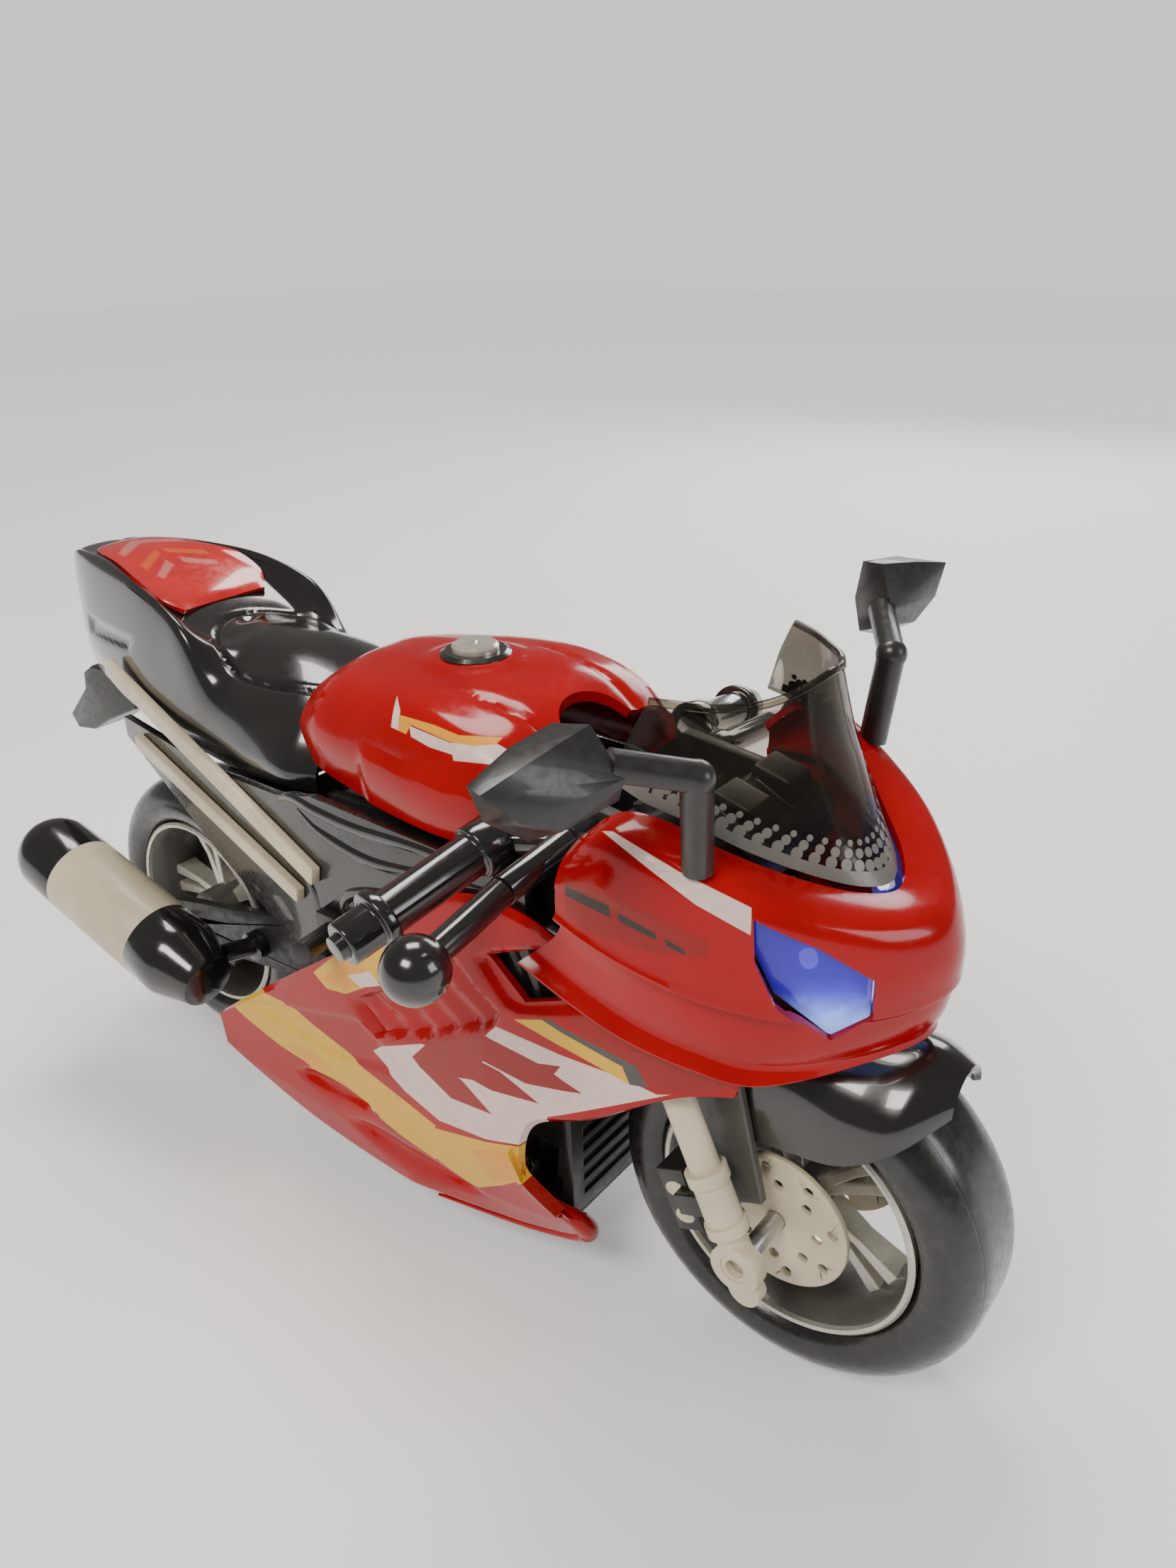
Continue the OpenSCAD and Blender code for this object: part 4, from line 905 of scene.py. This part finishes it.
# ---------------------------------------- windscreen
SCREEN_WALL = 1.2
SCREEN_CORE = (80, 0, 130)
SCREEN_ROWS, SCREEN_COLS = 14, 10
screen_lines = [
    [[76.5, -26.5, 134.5], [84, -27, 132.5], [92, -24.8, 130], [100, -20.5, 125.5], [108, -13.5, 120.5],
     [114.5, -6.5, 117], [117, 0, 115.8]],
    [[78, -25.8, 138.5], [84.5, -25.8, 137.5], [92, -23.6, 135.5], [99, -19.4, 132], [105.5, -12.8, 128],
     [110, -6.3, 125.5], [111.5, 0, 124.5]],
    [[80, -25.2, 143.5], [85.5, -24, 143], [91.5, -21.6, 142], [97.5, -17.4, 140], [102.5, -11.4, 138],
     [105.6, -5.8, 136.5], [106.6, 0, 136]],
    [[83, -24.5, 149.3], [88, -22.3, 149], [92.5, -19.4, 148.6], [97, -15.4, 148.6], [100.3, -10, 149.2],
     [102.4, -5, 150.4], [103.2, 0, 151.2]]]
screen = patch([both(line) for line in screen_lines], SCREEN_ROWS, SCREEN_COLS)
wall("windscreen_shell", screen, SCREEN_WALL, SCREEN_CORE, "chassis", smoke_mat,
     stands_for=["windscreen"], slot="smoke_clear")
screen_out = normals(screen, SCREEN_CORE)
lip = tube(screen[-1] - 0.35 * screen_out[-1], 0.75, 10)
make("windscreen_lip", *lip, "chassis", smoke_mat, slot="smoke_clear")


def screen_at(u, v):
    """Point and normal of the screen: u from 0 to 12 round it, v from 0 to 3 up it."""
    r = min(v * SCREEN_ROWS, len(screen) - 1.001)
    c = min(max(u * SCREEN_COLS, 0), screen.shape[1] - 1.001)
    i, j = int(r), int(c)
    f, h = r - i, c - j
    near = ((i, j, (1 - f) * (1 - h)), (i + 1, j, f * (1 - h)),
            (i, j + 1, (1 - f) * h), (i + 1, j + 1, f * h))
    return sum(screen[a, b] * k for a, b, k in near), sum(screen_out[a, b] * k for a, b, k in near)


def band_top(u):
    """How far up the screen the grey band goes."""
    return 0.36 + 0.10 * abs(u - 6) / 6


BAND_ROWS = 8
rows = []
for k in range(BAND_ROWS + 1):
    rows.append([])
    for u in np.linspace(0.4, 11.6, 91):
        point, out = screen_at(u, band_top(u) * k / BAND_ROWS)
        rows[-1].append(point + 0.12 * out)
wall("screen_band", np.array(rows), 0.1, SCREEN_CORE, "chassis", band_grey, slot="black_plastic")

DOT_STEP = 0.325
DOT_SIDES = 16
dots = []
for row, (gap, radius) in enumerate(((0.10, 1.1), (0.31, 0.9), (0.48, 0.6))):
    for k in range(34):
        u = 0.6 + (k + 0.5 * (row % 2)) * DOT_STEP
        if u > 11.4:
            continue
        c, n = screen_at(u, band_top(u) + gap)
        n = Vector(n).normalized()
        a = n.orthogonal().normalized()
        b = n.cross(a)
        top = [c + np.array(n) * 0.14 + radius * (math.cos(t) * np.array(a) + math.sin(t) * np.array(b))
               for t in np.linspace(0, 2 * math.pi, DOT_SIDES + 1)[:-1]]
        low = [q - np.array(n) * 0.1 for q in top]
        dots.append((np.array(top + low), plate_faces(DOT_SIDES)))
make("screen_dots", *join(*dots), "chassis", band_grey, slot="black_plastic")

# ---------------------------------------- wheels
# the rim's turned profiles, as (radius, distance from the middle)
rim_lip = [(28.1, 9.4), (28.3, 10.9), (27.7, 11.4), (26.9, 11.2), (26.4, 9.0)]
rim_barrel = [(27.9, 11.2), (26.2, 9.8), (24.4, 5), (24.0, 0), (24.4, -5), (26.2, -9.8), (27.9, -11.2),
              (28.0, 0)]
rim_hub = [(2.1, 10.4), (5.4, 10.4), (6.0, 9.8), (6.0, -9.8), (5.4, -10.4), (2.1, -10.4)]
spoke_stations = ((5.0, 1.5, 3.2), (15, 1.2, 2.6), (25.0, 1.7, 3.4))  # radius, half-width, half-depth
SPOKES = 5
SPOKE_SPREAD = 0.13


def spoke(turn, tilt):
    """One bar of a pair, leaning away from the pair's middle line."""
    c, s = math.cos(turn + tilt * 0.4), math.sin(turn + tilt * 0.4)
    verts = []
    for r, w, d in spoke_stations:
        off = tilt * r * 0.55
        for y, t in ((-d, -w), (d, -w), (d, w), (-d, w)):
            verts.append((r * c - (t + off) * s, y, r * s + (t + off) * c))
    faces = [[0, 1, 2, 3], [11, 10, 9, 8]]
    for g in (0, 4):
        faces += [[g + i, g + i + 4, g + (i + 1) % 4 + 4, g + (i + 1) % 4] for i in range(4)]
    return np.array(verts), faces


def wheel(name):
    """A tyre with round shoulders, and a rim of lips, a barrel with its hub, and spokes in pairs."""
    body = name + "_wheel"
    centre = mm(JOINTS[body + "_spin"]["pos_m"])
    low, high = (mm(v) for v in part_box(name + "_tyre"))
    r = high[2] - centre[2]
    half = (high - low)[1] / 2
    side = [(28.0, half - 3.5), (29.6, half - 1.4), (31, half - 0.4)]
    side += [(r - 7.5 + 7.5 * math.sin(a),
              4 + (half - 4) * math.cos(a)) for a in np.radians(range(6, 91, 6))]
    v, f = lathe(side + [(a, -b) for a, b in reversed(side)], 144)
    make(name + "_tyre_moulding", v + centre, f, body, tyre_mat, stands_for=[name + "_tyre"],
         slot="tyre_rubber", angle=50)
    v, f = join(*(lathe([(a, s * b) for a, b in rim_lip], 96) for s in (-1, 1)))
    make(name + "_rim_lips", v + centre, f, body, silver, slot="rim_grey")
    v, f = join(lathe(rim_barrel, 96), lathe(rim_hub, 48))
    make(name + "_rim_barrel", v + centre, f, body, dark_grey, slot="rim_grey",
         stands_for=[name + "_rim"], angle=30)
    turns = [math.radians(360 / SPOKES * k + 36) for k in range(SPOKES)]
    v, f = join(*(spoke(turn, tilt) for turn in turns for tilt in (-SPOKE_SPREAD, SPOKE_SPREAD)))
    bevelled(make(name + "_spokes", v + centre, f, body, silver, slot="rim_grey"), 0.5, 3)


wheel("front")
wheel("rear")

# ---------------------------------------- moulded folds on the side covers
COVER_TURN = math.radians(7.55)  # the covers turn inwards behind x = 0
COVER_FACE = 31.5
fold_lines = [
    [(54, 106), (36, 103.6), (18, 101), (4, 102.5), (-6, 106)],
    [(50, 109.2), (30, 108.6), (12, 107.4), (-6, 108), (-14, 105.6)],
    [(-2, 80), (-6, 89), (-17, 96), (-36, 101.5)],
    [(5, 78), (8, 89), (22, 94.5), (44, 97.5)]]


def side_folds(sign):
    """Raised folds, as round bars sunk into one cover's face."""
    folds = []
    for line in fold_lines:
        flat = through(line, 8)
        radius = np.interp(np.linspace(0, 1, len(flat)), [0, 0.2, 0.7, 1], [0.5, 1.7, 1.9, 0.5])
        y = COVER_FACE + np.minimum(flat[:, 0], 0) * math.tan(COVER_TURN) - 0.6 * radius
        folds.append(tube(np.stack([flat[:, 0], sign * y, flat[:, 1]], axis=1), radius, 14))
    return join(*folds)


for sign, name in ((-1, "side_folds_right"), (1, "side_folds_left")):
    make(name, *side_folds(sign), "chassis", gloss_black, slot="gloss_black")

# ---------------------------------------- the other CAD nodes keep their meshes
looks = {
    frame_black: ["frame_right", "frame_left", "belly_pan", "battery_door", "gearbox_case", "gearbox_cover",
                  "swingarm_right", "speaker", "steering_stem"],
    black: ["vent_grilles", "mirror_housings", "mirror_stalks", "instrument_panel", "side_stand",
            "power_slider",
            "brake_calipers", "rear_mudguard", "footpegs", "radiator_panel", "switch_case"],
    gloss_black: ["handlebars", "grips", "exhaust_end_cap", "exhaust_header", "cap_ring"],
    ribbed: ["side_covers"],
    cream: ["seat_rails", "exhaust_barrel", "fork_legs", "brake_discs"],
    silver: ["cap_button"],
    steel: ["case_screws", "front_axle", "rear_axle", "drive_motor", "steering_motor"],
    nylon: ["servo_gear", "axle_gear", "idler_gear"],
    brass: ["motor_pinion", "battery_contacts"],
    cell: ["batteries"],
    green: ["circuit_board"],
    lens_mat: ["headlight_lenses"],
    bowl_mat: ["headlight_reflectors"],
    led_mat: ["headlight_leds"],
    mirror_mat: ["mirror_glasses"]}
# bevel widths in millimetres where the usual one is not right, and pieces left without a bevel
USUAL_BEVEL = 0.25
fine = {"mirror_housings": 1.6, "side_covers": 0.6, "seat_rails": 0.5, "exhaust_barrel": 0.4,
        "mirror_stalks": 0.8,
        "rear_mudguard": 0.8, "instrument_panel": 0.8, "brake_calipers": 0.8, "headlight_lenses": 0.5,
        "exhaust_end_cap": 0.5, "fork_legs": 0.35, "grips": 0.5, "radiator_panel": 0.3}
plain = {"axle_gear", "idler_gear", "motor_pinion", "servo_gear", "steering_stem", "cap_button", "cap_ring"}
for mat, names in looks.items():
    for name in names:
        obj = NODES[name]
        obj.data.materials.clear()
        obj.data.materials.append(mat)
        shade(obj.data, 30)
        if name not in plain:
            bevelled(obj, fine.get(name, USUAL_BEVEL), 3 if name in fine else 2)

# ---------------------------------------- stage, lights and camera
FLOOR_REACH = 3000
FLOOR_DROP = 0.05


def stage():
    """A pale floor that grows lighter with distance, so that it has no horizon."""
    p = Paint("floor_white")
    x, y, _ = p.split()
    reach = p.math("SQRT", p.math("ADD", p.math("MULTIPLY", x, x), p.math("MULTIPLY", y, y)))
    cloud = p.ramp(p.noise(0.004, 4), 0.3, 0.7)
    p.set(Base_Color=p.blend(cloud, (0.80, 0.80, 0.80), (0.83, 0.83, 0.83)), Roughness=0.6,
          Emission_Color=(1.0, 1.0, 1.0), Emission_Strength=p.ramp(reach, 300.0, 1500.0, 0.28, 0.72))
    corners = [(-1, -1), (1, -1), (1, 1), (-1, 1)]
    verts = [(a * FLOOR_REACH * MM, b * FLOOR_REACH * MM, -FLOOR_DROP * MM) for a, b in corners]
    mesh = bpy.data.meshes.new("floor")
    mesh.from_pydata(verts, [], [[0, 1, 2, 3]])
    mesh.materials.append(p.mat)
    floor = bpy.data.objects.new("floor", mesh)
    bpy.context.scene.collection.objects.link(floor)


stage()


def light(name, at, aim, size, power, tint=(1, 1, 1)):
    """A rectangular lamp at one place, in metres, that faces another."""
    data = bpy.data.lights.new(name, "AREA")
    data.shape = "RECTANGLE"
    data.size, data.size_y = size
    data.energy = power
    data.color = tint
    lamp = bpy.data.objects.new(name, data)
    lamp.location = Vector(at)
    lamp.rotation_euler = (Vector(aim) - Vector(at)).to_track_quat("-Z", "Y").to_euler()
    bpy.context.scene.collection.objects.link(lamp)


light("key_light", (0.10, -0.75, 0.95), (0, 0, 0.07), (0.45, 0.30), 9, (1.0, 0.95, 0.88))
light("top_light", (-0.30, 0.25, 1.05), (0, 0, 0.08), (0.5, 0.35), 8, (1.0, 0.96, 0.90))
light("front_light", (1.0, 0.25, 0.5), (0.05, 0, 0.08), (0.4, 0.4), 3, (0.95, 0.97, 1.0))
light("left_light", (-0.2, 1.0, 0.5), (0, 0, 0.08), (0.5, 0.4), 4)
world = bpy.data.worlds.new("studio")
bpy.context.scene.world = world
world.use_nodes = True
back = world.node_tree.nodes["Background"]
path = world.node_tree.nodes.new("ShaderNodeLightPath")
shown = world.node_tree.nodes.new("ShaderNodeMix")
shown.data_type = "RGBA"
shown.inputs[6].default_value = (0.22, 0.21, 0.20, 1)  # what lights the scene
shown.inputs[7].default_value = (0.95, 0.95, 0.95, 1)  # what the camera sees
world.node_tree.links.new(path.outputs["Is Camera Ray"], shown.inputs[0])
world.node_tree.links.new(shown.outputs[2], back.inputs[0])
back.inputs[1].default_value = 1.0

# the camera that was fitted to the photograph, in metres
EYE_AT = (0.18704, -0.16951, 0.22156)
FORWARD = Vector((-0.56466, 0.69996, -0.43728))
RIGHT = Vector((0.78560, 0.61824, -0.02481))
UP = Vector((-0.25298, 0.35753, 0.89898))
LENS = 27.22
cam = bpy.data.cameras.new("camera")
cam.sensor_fit = "VERTICAL"
cam.sensor_height = 36
cam.lens = LENS
cam.clip_start = 0.01
cam.clip_end = 20
eye = bpy.data.objects.new("camera", cam)
eye.matrix_world = Matrix.Translation(EYE_AT) @ Matrix((RIGHT, UP, -FORWARD)).transposed().to_4x4()
bpy.context.scene.collection.objects.link(eye)
bpy.context.scene.camera = eye
